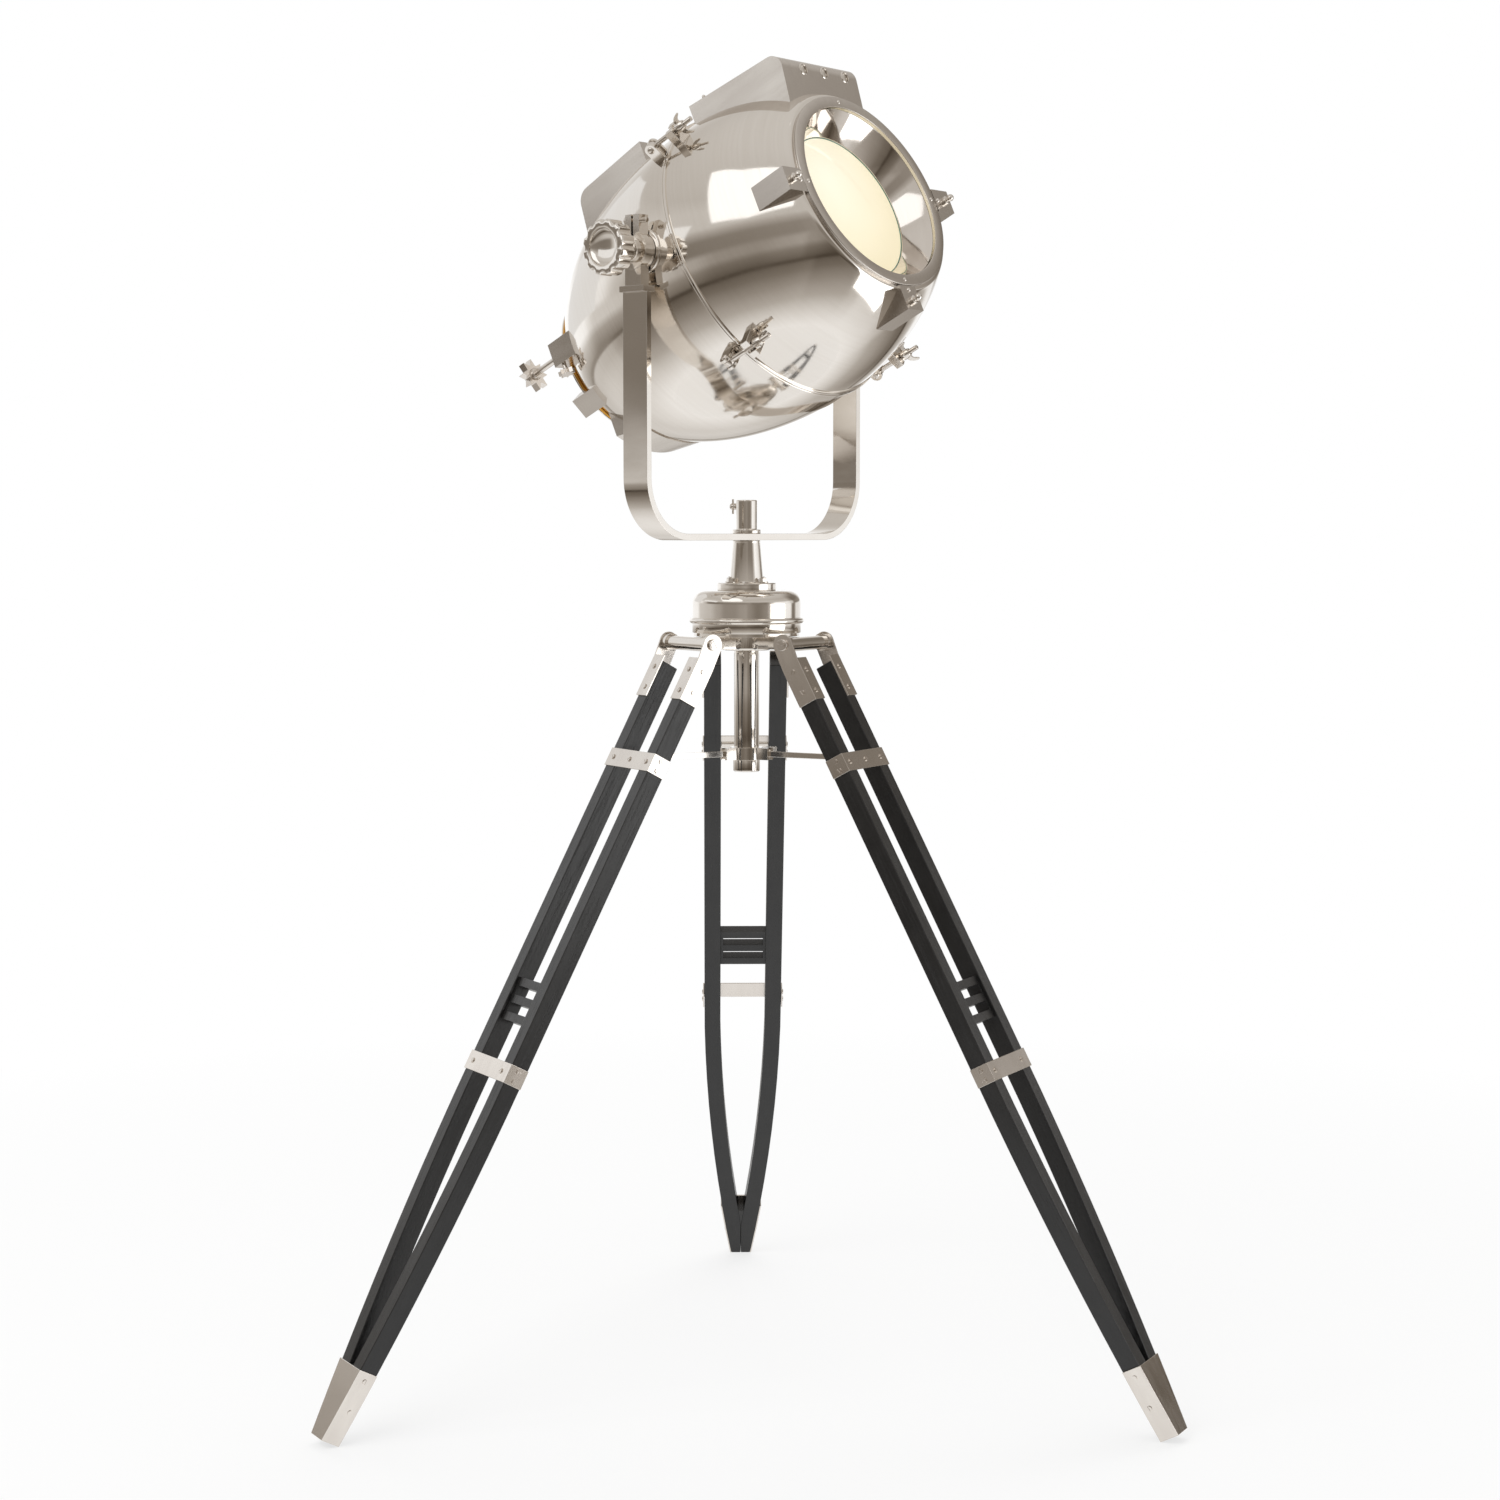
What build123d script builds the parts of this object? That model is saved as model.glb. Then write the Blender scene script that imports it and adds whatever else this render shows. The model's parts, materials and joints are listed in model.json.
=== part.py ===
# Floor lamp: a ball-shaped studio searchlight in a U-shaped yoke on a three-legged wooden stand.
# Lengths are in millimetres and angles in degrees. +Z is up, +X is to the right when the lamp is seen
# from the front, and the origin is on the floor under the column.
import math
import os

from build123d import *

os.makedirs("parts", exist_ok=True)

# Fits
clearance = 0.3
running_fit = 0.1
overrun = 6.0

# Legs
leg_azimuths = {"left": 210, "right": 330, "back": 90}
leg_lean = 28.34
leg_width = 106.0
rail_width = 22.0
rail_depth = 23.0
hinge_above_rail = 29.0
bow_start = 470.0
foot_width = 27.0
rail_joint = 0.15
ladder_bottom = 518.0
ladder_bar = 12.0
ladder_slot = 13.0
ladder_slots = 2
ladder_cheek = 4.0
ladder_setback = 2.5
wedge_length = 26.0

# Straps, brackets and boots on the legs
strap_thickness = 1.6
band_height = 23.6
upper_band_drop = 72.5
lower_band_top = 481.2
boot_height = 91.0
boot_thickness = 2.0
bracket_thickness = 2.2
bracket_height = 56.0
bracket_face_drop = 22.0
bracket_eye_radius = 13.0
hinge_up = 1038.0
hinge_out = 15.0
hinge_radius = 80.46
hinge_pin_radius = 4.0
hinge_head_radius = 7.0
hinge_head_height = 3.2

# Crown and its cover
hub_radius = 30.5
hub_height = 22.0
hub_drop = 9.7123
hub_corner = 4.0
barrel_radius = 8.5
barrel_collar_radius = 11.0
barrel_collar_length = 8.0
arm_width = 34.0
arm_height = 15.0
crown_disc_radius = 65.5
crown_disc_height = 4.0
cover_height = 52.0
cover_radius = 67.3
cover_shoulder = 13.0
cover_wall = 2.2
cover_bead_radius = 3.7
cover_bead_rise = 15.0
cover_hole_radius = 24.0

# Neck that the yoke turns on
neck_flange_radius = 36.5
neck_flange_height = 9.5
neck_foot_radius = 19.5
neck_head_radius = 17.0
neck_height = 52.2
pintle_radius = 8.0
pintle_length = 38.0
neck_bolt_circle = 28.0
neck_bolt_count = 4
neck_bolt_start = 45.0
neck_bolt_radius = 5.2
neck_bolt_height = 6.0
neck_washer_radius = 6.6
neck_washer_height = 1.4

# Column, cap, and the collar that the stays pull on
column_radius = 15.5
column_wall = 2.5
column_length = 136.0
cap_radius = 16.5
cap_height = 15.0
cap_chamfer = 1.5
collar_radius = 20.5
collar_height = 15.0
lug_reach = 33.5
lug_width = 15.0
lug_slot_start = 22.0
stay_pivot_radius = 28.0
stay_pin_radius = 2.5
stay_width = 6.0
stay_height = 7.0
stay_eye_radius = 5.3
stay_fit = 0.2
crosspin_radius = 3.0
crosspin_depth = 9.4
crosspin_gap = 0.5
thumb_azimuth = 30.0
thumb_shank_radius = 3.0
thumb_shank_length = 7.0
thumb_head_radius = 6.5
thumb_head_height = 5.0
thumb_tab_width = 13.0
thumb_tab_height = 11.0
thumb_tab_thickness = 2.4

# Yoke
head_azimuth = -41.23
yoke_strap_width = 38.0
yoke_thickness = 8.0
yoke_inner_width = 390.0
yoke_bend_radius = 66.0
yoke_arm_length = 291.0
clamp_foot_width = 20.0
clamp_foot_height = 7.0
clamp_stem_width = 14.0
clamp_stem_depth = 25.0
clamp_ring_radius = 22.0
clamp_ring_width = 16.0
clamp_ear_height = 13.0
clamp_ear_depth = 11.0
clamp_split = 3.0
clamp_split_length = 39.0
clamp_bolt_radius = 3.0
clamp_bolt_head = 5.5
spigot_radius = 13.0
spigot_height = 41.5
spigot_base_radius = 17.5
spigot_base_height = 5.0
spigot_crown = 3.0
spigot_screw_drop = 8.0
spigot_screw_radius = 2.6
spigot_screw_length = 9.0
spigot_ball_radius = 4.6
spigot_bar_length = 18.4

# Head: where it hangs and how it points
tilt_rise = 48.1
tilt_axis_above_centre = 15.3
beam_elevation = 24.98

# Shell of the head, measured along the beam from the tilt axis
girth_place = 18.0
girth_radius = 187.0
rear_length = 296.0
front_length = 255.0
shell_wall = 1.6
seam_place = 46.0
seam_width = 3.2
seam_height = 2.6
shell_back = -236.0
shell_front = 201.5
trunnion_radius = 14.0
trunnion_reach = 214.0
trunnion_boss_radius = 27.0
trunnion_boss_height = 3.0
stud_radius = 6.0
stud_length = 24.0

# Front ring, funnel and lens
bezel_radius = 125.4
bezel_inner_radius = 111.0
bezel_thickness = 4.8
bezel_edge = 1.5
funnel_wall = 1.5
lens_place = 167.7
lens_radius = 95.0
lens_thickness = 5.0
lens_bulge = 7.0
lens_seat = 2.0

# Hoods over the air outlets
hood_width = 142.0
hood_wall = 1.6
hood_corner = 18.0
front_hood_reach = 195.5
front_hood_ridge = 198.8
front_hood_ridge_reach = 182.7
front_hood_face = 188.6
front_hood_foot = 115.4
rear_hood_front = -39.0
rear_hood_reach = 199.0
rear_hood_ridge = -156.7
rear_hood_ridge_reach = 191.8
rear_hood_face = -165.2
rear_hood_foot = 127.5
hood_hole_radius = 6.0
hood_hole_pitch = 39.5
hood_hole_drop = 18.0
hood_hole_count = 3
hood_hole_offset = 9.0
bottom_hood_front = -178.0
bottom_hood_back = -227.0
bottom_hood_back_reach = 130.0

# Rear cover and its brass ring
cover_ring_radius = 98.0
cover_ring_width = 3.4
cover_ring_inner = 86.0
rear_cover_dome = 13.0
rear_cover_wall = 2.0

# Clips on the front ring and on the rear cover
front_clip_angles = [90, 180, 270]
front_clip_back = 155.0
front_clip_face = 206.0
front_clip_reach = 158.0
front_clip_width = 30.0
front_clip_foot = 126.0
clip_screw_radius = 2.6
clip_screw_length = 7.0
clip_screw_drop = 12.0
clip_knurl_radius = 5.5
clip_knurl_length = 4.0
clip_ball_radius = 4.4
rear_clip_angles = [123, 237, 270]
rear_clip_front = -200.0
rear_clip_face = -246.0
rear_clip_reach = 120.0
rear_clip_width = 27.0
rear_clip_foot = 90.0

# Latches across the seam
latch_angles = [45, 135, 225, 315]
latch_pin_place = 30.0
latch_pin_reach = 201.0
latch_pin_radius = 2.5
latch_ear_thickness = 3.6
latch_ear_radius = 7.5
bolt_eye_radius = 6.6
bolt_eye_width = 8.0
bolt_radius = 3.2
bolt_length = 68.0
fork_place = 62.0
fork_thickness = 11.0
fork_width = 24.0
fork_slot = 7.4
fork_rise = 6.0
nut_gap = 1.4
nut_radius = 6.4
nut_height = 11.0
nut_wing_reach = 15.5
nut_wing_thickness = 3.0
nut_wing_setback = 3.4
nut_wing_height = 10.0

# Switch box with its star knobs
switch_box_angle = 90.0
switch_box_front = -182.0
switch_box_face = -240.0
switch_box_reach = 125.0
switch_box_width = 31.0
switch_box_offset = 4.5
switch_box_foot = 97.0
star_points = 8
star_core_share = 0.56
focus_star_radius = 21.5
focus_star_thickness = 9.0
focus_shaft_radius = 4.0
focus_shaft_length = 46.0
focus_shaft_reach = 111.0
switch_star_radius = 11.0
switch_star_thickness = 6.0
switch_shaft_radius = 3.0
switch_shaft_length = 8.0
switch_shaft_place = -230.0
switch_shaft_reach = 118.5
hub_share = 0.42

# Tilt knobs
knob_radius = 32.5
knob_thickness = 22.0
knob_lobes = 12
knob_scoop_radius = 6.5
knob_scoop_share = 0.55
knob_dish_radius = 22.0
knob_dish_depth = 5.0
knob_button_radius = 16.0
knob_button_height = 2.5
knob_neck_radius = 12.5
knob_place = 236.0

# Bulb and its holder
holder_stem_radius = 10.0
holder_radius = 21.0
holder_back = -62.0
holder_front = -4.0
bulb_radius = 30.0
bulb_neck_radius = 13.0
bulb_centre = 52.0
bulb_screw_depth = 16.0

# Heights and places that follow from the hinges, which carry all that stands on the legs.
lean_angle = math.radians(leg_lean)
foot_radius = hinge_radius + hinge_up * math.sin(lean_angle) - hinge_out * math.cos(lean_angle)
hinge_height = hinge_up * math.cos(lean_angle) + hinge_out * math.sin(lean_angle)
rail_top = hinge_up - hinge_above_rail
bracket_face_top = hinge_up - bracket_face_drop
bracket_bottom = bracket_face_top - bracket_height
band_tops = {"upper": bracket_bottom - upper_band_drop, "lower": lower_band_top}
crown_bottom = hinge_height - hub_drop
column_bottom = crown_bottom - column_length
cover_bottom = crown_bottom + hub_height
cover_top = cover_bottom + cover_height
cover_bead_height = cover_bottom + cover_bead_rise
neck_top = cover_top + neck_flange_height + neck_height
yoke_bottom = neck_top + clearance
yoke_top = yoke_bottom + yoke_thickness
arm_top = yoke_bottom + yoke_arm_length
tilt_height = arm_top + tilt_rise
spigot_top = yoke_top + spigot_height


# Vectors and planes of a leg: across runs sideways, up runs along the leg from the foot, and out is
# square to the leg's outer face.
def leg_vectors(azimuth):
    turn = math.radians(azimuth)
    lean = math.radians(leg_lean)
    radial = Vector(math.cos(turn), math.sin(turn), 0)
    across = Vector(-math.sin(turn), math.cos(turn), 0)
    upward = Vector(0, 0, 1)
    up = upward * math.cos(lean) - radial * math.sin(lean)
    out = radial * math.cos(lean) + upward * math.sin(lean)
    return radial, across, up, out


def leg_face(azimuth, raised=0.0):
    radial, across, up, out = leg_vectors(azimuth)
    return Plane(origin=radial * foot_radius + out * raised, x_dir=across, z_dir=out)


def leg_side(azimuth, sideways=0.0):
    radial, across, up, out = leg_vectors(azimuth)
    return Plane(origin=radial * foot_radius + across * sideways, x_dir=out, z_dir=across * -1)


# Upright plane through the column, with x along the azimuth and y up.
def radial_plane(azimuth, sideways=0.0):
    radial, across, up, out = leg_vectors(azimuth)
    return Plane(origin=across * sideways, x_dir=radial, z_dir=across * -1)


# Directions of the head: beam is where the light goes, tilt_line is the axle, head_up is square to both.
elevation = math.radians(beam_elevation)
heading = math.radians(head_azimuth)
ahead = Vector(math.cos(heading), math.sin(heading), 0)
tilt_line = Vector(-math.sin(heading), math.cos(heading), 0)
beam = ahead * math.cos(elevation) + Vector(0, 0, math.sin(elevation))
head_up = Vector(0, 0, math.cos(elevation)) - ahead * math.sin(elevation)
head_centre = Vector(0, 0, tilt_height) - head_up * tilt_axis_above_centre
head_axis = Axis(head_centre, beam)


# Plane through the head's own axis: x runs forward along the beam, y outward at an angle from the top,
# counted towards the left of the head. A sideways shift moves it square to itself.
def head_section(angle=0.0, sideways=0.0):
    turn = math.radians(angle)
    outward = head_up * math.cos(turn) - tilt_line * math.sin(turn)
    normal = beam.cross(outward)
    return Plane(origin=head_centre + normal * sideways, x_dir=beam, z_dir=normal)


# Plane square to the beam at a place along it, facing forward, with its y axis outward at the angle.
def head_slice(place, angle=0.0, reach=0.0, facing=1):
    turn = math.radians(angle)
    outward = head_up * math.cos(turn) - tilt_line * math.sin(turn)
    origin = head_centre + beam * place + outward * reach
    return Plane(origin=origin, x_dir=outward.cross(beam) * facing, z_dir=beam * facing)


# Upright plane across the lamp in which the yoke is bent, with x along the tilt axle and y up.
def yoke_plane(forward=0.0):
    return Plane(origin=ahead * forward, x_dir=tilt_line, z_dir=ahead)


# Plane square to the tilt axle at a distance from the column, facing outward on that side.
def axle_plane(side, distance):
    origin = Vector(0, 0, tilt_height) + tilt_line * (side * distance)
    return Plane(origin=origin, x_dir=ahead * side, z_dir=tilt_line * side)


def rod(place, radius, length, mode=Mode.ADD):
    with BuildSketch(place) as outline:
        Circle(radius)
    extrude(outline.sketch, amount=length, mode=mode)


def block(place, width, height, length, mode=Mode.ADD):
    with BuildSketch(place) as outline:
        Rectangle(width, height)
    extrude(outline.sketch, amount=length, mode=mode)


def save(piece, name):
    piece.part.label = name
    export_step(piece.part, "parts/" + name + ".step")


# Height of the shell's nominal outside above the head's axis.
def shell_reach(place):
    length = rear_length if place < girth_place else front_length
    return girth_radius * math.sqrt(1 - ((place - girth_place) / length) ** 2)


# Sketches of the shell's wall between two places, one for each half of the egg. Without a wall the
# sketch is filled to the axis.
def shell_halves(rear, front, wall, grow=0.0):
    halves = []
    spans = [(rear, min(front, girth_place), rear_length), (max(rear, girth_place), front, front_length)]
    for start, end, length in spans:
        if end > start:
            with BuildSketch(head_section()) as half:
                with Locations((girth_place, 0)):
                    Ellipse(length + grow, girth_radius + grow)
                    if wall:
                        Ellipse(length - wall, girth_radius - wall, mode=Mode.SUBTRACT)
                with Locations(((start + end) / 2, girth_radius)):
                    Rectangle(end - start, girth_radius * 2, mode=Mode.INTERSECT)
            halves.append(half.sketch)
    return halves


# Solid of the shell's outside, used to cut what sits on it.
with BuildPart() as shell_form:
    for half in shell_halves(shell_back, shell_front, 0):
        revolve(half, axis=head_axis)


# Rails of the legs: straight down from the top, then bowed in to the foot.
half_leg = leg_width / 2
half_gap = half_leg - rail_width
half_foot = foot_width / 2
bow_drift = half_leg - half_foot
bow_radius = (bow_drift**2 + bow_start**2) / (2 * bow_drift)
bow_centre = half_leg - bow_radius
inner_bow_radius = bow_radius - rail_width
rail_meeting = bow_start - math.sqrt(inner_bow_radius**2 - (rail_joint - bow_centre) ** 2)


# Half the leg's width at a height, a given distance inside its outer face.
def bow_half_width(up, inset=0.0):
    drop = max(bow_start - up, 0)
    return bow_centre + math.sqrt((bow_radius - inset) ** 2 - drop**2)


def make_rail(azimuth, side):
    with BuildPart() as rail:
        with BuildSketch(leg_face(azimuth)):
            with BuildLine():
                Line((side * half_gap, rail_top), (side * half_leg, rail_top))
                Line((side * half_leg, rail_top), (side * half_leg, bow_start))
                TangentArc((side * half_leg, bow_start), (side * half_foot, 0), tangent=(0, -1))
                Line((side * half_foot, 0), (side * rail_joint, 0))
                Line((side * rail_joint, 0), (side * rail_joint, rail_meeting))
                TangentArc(
                    (side * half_gap, bow_start), (side * rail_joint, rail_meeting), tangent=(0, -1)
                )
                Line((side * half_gap, bow_start), (side * half_gap, rail_top))
            make_face()
        extrude(amount=rail_depth)
    return rail


# Spacers between the rails: a slotted ladder piece half way up and a wedge where the rails meet.
ladder_height = ladder_bar * (ladder_slots + 1) + ladder_slot * ladder_slots
wedge_top = rail_meeting + wedge_length


def make_spacers(azimuth):
    wedge_half = bow_half_width(wedge_top, rail_width)
    with BuildPart() as spacers:
        with BuildSketch(leg_face(azimuth, ladder_setback)):
            with Locations((0, ladder_bottom + ladder_height / 2)):
                Rectangle(half_gap * 2, ladder_height)
                with GridLocations(0, ladder_bar + ladder_slot, 1, ladder_slots):
                    Rectangle((half_gap - ladder_cheek) * 2, ladder_slot, mode=Mode.SUBTRACT)
        extrude(amount=rail_depth - ladder_setback * 2)
        with BuildSketch(leg_face(azimuth)):
            with BuildLine():
                Line((-wedge_half, wedge_top), (wedge_half, wedge_top))
                Line((wedge_half, wedge_top), (rail_joint, rail_meeting))
                Line((rail_joint, rail_meeting), (-rail_joint, rail_meeting))
                Line((-rail_joint, rail_meeting), (-wedge_half, wedge_top))
            make_face()
        extrude(amount=rail_depth)
    return spacers


# Metal on a leg above the boot: two bands round three sides of both rails, and a hinge bracket on the
# outer corner of each rail with an eye for the hinge pin.
def make_straps(azimuth):
    band_width = leg_width + strap_thickness * 2
    ear = half_leg + bracket_thickness
    eye_hole = hinge_pin_radius + running_fit
    with BuildPart() as straps:
        for top in band_tops.values():
            middle = top - band_height / 2
            with BuildSketch(leg_face(azimuth)) as band:
                with Locations((0, middle)):
                    Rectangle(band_width, band_height)
            extrude(band.sketch, amount=rail_depth + strap_thickness)
            with BuildSketch(leg_face(azimuth)) as opening:
                with Locations((0, middle)):
                    Rectangle(leg_width, band_height + overrun)
            extrude(opening.sketch, amount=rail_depth, mode=Mode.SUBTRACT)
        for side in (-1, 1):
            ear_place = ear if side > 0 else -half_leg
            with BuildSketch(leg_side(azimuth, ear_place)) as ear_plate:
                with BuildLine():
                    Line((0, bracket_bottom), (rail_depth + bracket_thickness, bracket_bottom))
                    Line(
                        (rail_depth + bracket_thickness, bracket_bottom),
                        (rail_depth + bracket_thickness, bracket_face_top),
                    )
                    Line(
                        (rail_depth + bracket_thickness, bracket_face_top),
                        (hinge_out + bracket_eye_radius, hinge_up),
                    )
                    ThreePointArc(
                        (hinge_out + bracket_eye_radius, hinge_up),
                        (hinge_out, hinge_up + bracket_eye_radius),
                        (hinge_out - bracket_eye_radius, hinge_up),
                    )
                    Line((hinge_out - bracket_eye_radius, hinge_up), (0, rail_top))
                    Line((0, rail_top), (0, bracket_bottom))
                make_face()
                with Locations((hinge_out, hinge_up)):
                    Circle(eye_hole, mode=Mode.SUBTRACT)
            extrude(ear_plate.sketch, amount=bracket_thickness)
            with BuildSketch(leg_face(azimuth, rail_depth)) as face_plate:
                with Locations((side * (half_gap + ear) / 2, (bracket_bottom + bracket_face_top) / 2)):
                    Rectangle(ear - half_gap, bracket_face_top - bracket_bottom)
            extrude(face_plate.sketch, amount=bracket_thickness)
    return straps


# Metal boot round three sides of the foot, following the bow of the rails.
def make_boot(azimuth):
    with BuildPart() as boot:
        for grow, past, mode in ((boot_thickness, 0.0, Mode.ADD), (0.0, overrun, Mode.SUBTRACT)):
            low, middle, high = -past, boot_height / 2, boot_height + past
            low_half = bow_half_width(low) + grow
            middle_half = bow_half_width(middle) + grow
            high_half = bow_half_width(high) + grow
            with BuildSketch(leg_face(azimuth)) as outline:
                with BuildLine():
                    Line((-low_half, low), (low_half, low))
                    ThreePointArc((low_half, low), (middle_half, middle), (high_half, high))
                    Line((high_half, high), (-high_half, high))
                    ThreePointArc((-high_half, high), (-middle_half, middle), (-low_half, low))
                make_face()
            extrude(outline.sketch, amount=rail_depth + grow, mode=mode)
    return boot


# Stay from the collar out between the rails, with a bored eye at the collar and a cross pin at the leg.
collar_bottom = column_bottom + clearance
stay_level = collar_bottom + collar_height / 2
crosspin_up = (stay_level - crosspin_depth * math.sin(lean_angle)) / math.cos(lean_angle)
crosspin_radius_out = (
    foot_radius - crosspin_up * math.sin(lean_angle) + crosspin_depth * math.cos(lean_angle)
)


def make_stay(azimuth):
    with BuildPart() as stay:
        with BuildSketch(radial_plane(azimuth, stay_width / 2)) as bar:
            with Locations(((stay_pivot_radius + crosspin_radius_out) / 2, stay_level)):
                Rectangle(crosspin_radius_out - stay_pivot_radius, stay_height)
            with Locations((stay_pivot_radius, stay_level), (crosspin_radius_out, stay_level)):
                Circle(stay_eye_radius)
            with Locations((stay_pivot_radius, stay_level)):
                Circle(stay_pin_radius + running_fit, mode=Mode.SUBTRACT)
        extrude(bar.sketch, amount=stay_width)
        with BuildSketch(radial_plane(azimuth, half_gap - crosspin_gap)) as pin:
            with Locations((crosspin_radius_out, stay_level)):
                Circle(crosspin_radius)
        extrude(pin.sketch, amount=(half_gap - crosspin_gap) * 2)
    return stay


for leg, azimuth in leg_azimuths.items():
    save(make_rail(azimuth, -1), "leg_" + leg + "_rail_left")
    save(make_rail(azimuth, 1), "leg_" + leg + "_rail_right")
    save(make_spacers(azimuth), "leg_" + leg + "_spacers")
    save(make_straps(azimuth), "leg_" + leg + "_straps")
    save(make_boot(azimuth), "leg_" + leg + "_boot")
    save(make_stay(azimuth), "stay_" + leg)


# Crown: a round hub on the column with three arms, each ending in a barrel for a hinge pin.
barrel_half = half_leg - clearance
disc_bottom = cover_bottom - crown_disc_height
pin_half = half_leg + bracket_thickness + clearance

with BuildPart() as crown:
    rod(Plane.XY.offset(crown_bottom), hub_radius, disc_bottom - crown_bottom)
    fillet(crown.edges().group_by(Axis.Z)[0], hub_corner)
    rod(Plane.XY.offset(disc_bottom), crown_disc_radius, crown_disc_height)
    rod(Plane.XY.offset(cover_bottom), cover_hole_radius - running_fit, cover_top - cover_bottom)
    for azimuth in leg_azimuths.values():
        radial, across, up, out = leg_vectors(azimuth)
        hinge_point = radial * hinge_radius + Vector(0, 0, hinge_height)
        arm_start = Vector(0, 0, hinge_height)
        block(
            Plane(origin=arm_start, x_dir=across, z_dir=radial), arm_width, arm_height, hinge_radius
        )
        barrel_end = hinge_point - across * barrel_half
        rod(Plane(origin=barrel_end, x_dir=radial, z_dir=across), barrel_radius, barrel_half * 2)
        for side in (-1, 1):
            end = hinge_point + across * (side * barrel_half)
            rod(
                Plane(origin=end, x_dir=radial, z_dir=across * -side),
                barrel_collar_radius,
                barrel_collar_length,
            )
    for azimuth in leg_azimuths.values():
        radial, across, up, out = leg_vectors(azimuth)
        start = radial * hinge_radius + Vector(0, 0, hinge_height) - across * (barrel_half + overrun)
        rod(
            Plane(origin=start, x_dir=radial, z_dir=across),
            hinge_pin_radius,
            (barrel_half + overrun) * 2,
            mode=Mode.SUBTRACT,
        )
save(crown, "crown")

with BuildPart() as hinge_pins:
    for azimuth in leg_azimuths.values():
        radial, across, up, out = leg_vectors(azimuth)
        middle = radial * hinge_radius + Vector(0, 0, hinge_height)
        rod(
            Plane(origin=middle - across * pin_half, x_dir=radial, z_dir=across),
            hinge_pin_radius,
            pin_half * 2,
        )
        for side in (-1, 1):
            head_place = middle + across * (side * pin_half)
            rod(
                Plane(origin=head_place, x_dir=radial, z_dir=across * side),
                hinge_head_radius,
                hinge_head_height,
            )
save(hinge_pins, "hinge_pins")

# Cover: a spun dome with a rounded shoulder and a bead low on its skirt, open below.
with BuildPart() as crown_cover:
    with BuildSketch(Plane.XZ):
        with BuildLine():
            Line((cover_hole_radius, cover_top), (cover_radius - cover_shoulder, cover_top))
            RadiusArc(
                (cover_radius - cover_shoulder, cover_top),
                (cover_radius, cover_top - cover_shoulder),
                cover_shoulder,
            )
            Line((cover_radius, cover_top - cover_shoulder), (cover_radius, cover_bottom))
            Line((cover_radius, cover_bottom), (cover_radius - cover_wall, cover_bottom))
            Line(
                (cover_radius - cover_wall, cover_bottom),
                (cover_radius - cover_wall, cover_top - cover_shoulder),
            )
            RadiusArc(
                (cover_radius - cover_wall, cover_top - cover_shoulder),
                (cover_radius - cover_shoulder, cover_top - cover_wall),
                -(cover_shoulder - cover_wall),
            )
            Line(
                (cover_radius - cover_shoulder, cover_top - cover_wall),
                (cover_hole_radius, cover_top - cover_wall),
            )
            Line((cover_hole_radius, cover_top - cover_wall), (cover_hole_radius, cover_top))
        make_face()
        with Locations((cover_radius, cover_bead_height)):
            Circle(cover_bead_radius)
        with Locations((cover_radius - cover_wall - cover_bead_radius, cover_bead_height)):
            Rectangle(cover_bead_radius * 2, cover_bead_radius * 2, mode=Mode.SUBTRACT)
    revolve(axis=Axis.Z)
save(crown_cover, "crown_cover")

# Neck: a bolted flange, a slim cone, and the pintle that the yoke and its spigot turn on.
neck_base = cover_top + neck_flange_height
pintle_top = neck_top + pintle_length
with BuildPart() as neck:
    rod(Plane.XY.offset(cover_top), neck_flange_radius, neck_flange_height)
    with BuildSketch(Plane.XY.offset(neck_base)):
        Circle(neck_foot_radius)
    with BuildSketch(Plane.XY.offset(neck_top)):
        Circle(neck_head_radius)
    loft()
    rod(Plane.XY.offset(neck_top), pintle_radius, pintle_length)
save(neck, "neck")

with BuildPart() as neck_bolts:
    with PolarLocations(neck_bolt_circle, neck_bolt_count, start_angle=neck_bolt_start):
        with Locations((0, 0, neck_base)):
            Cylinder(
                neck_washer_radius, neck_washer_height, align=(Align.CENTER, Align.CENTER, Align.MIN)
            )
    with BuildSketch(Plane.XY.offset(neck_base + neck_washer_height)):
        with PolarLocations(neck_bolt_circle, neck_bolt_count, start_angle=neck_bolt_start):
            RegularPolygon(neck_bolt_radius, 6)
    extrude(amount=neck_bolt_height)
save(neck_bolts, "neck_bolts")

# Column: a tube hung from the hub, closed by a cap that stops the collar.
with BuildPart() as column:
    with BuildSketch(Plane.XY.offset(column_bottom)):
        Circle(column_radius)
        Circle(column_radius - column_wall, mode=Mode.SUBTRACT)
    extrude(amount=crown_bottom - column_bottom)
save(column, "column")

with BuildPart() as column_cap:
    rod(Plane.XY.offset(column_bottom - cap_height), cap_radius, cap_height)
    chamfer(column_cap.edges().group_by(Axis.Z)[0], cap_chamfer)
    rod(Plane.XY.offset(column_bottom), column_radius - column_wall, cap_height)
save(column_cap, "column_cap")

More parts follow.
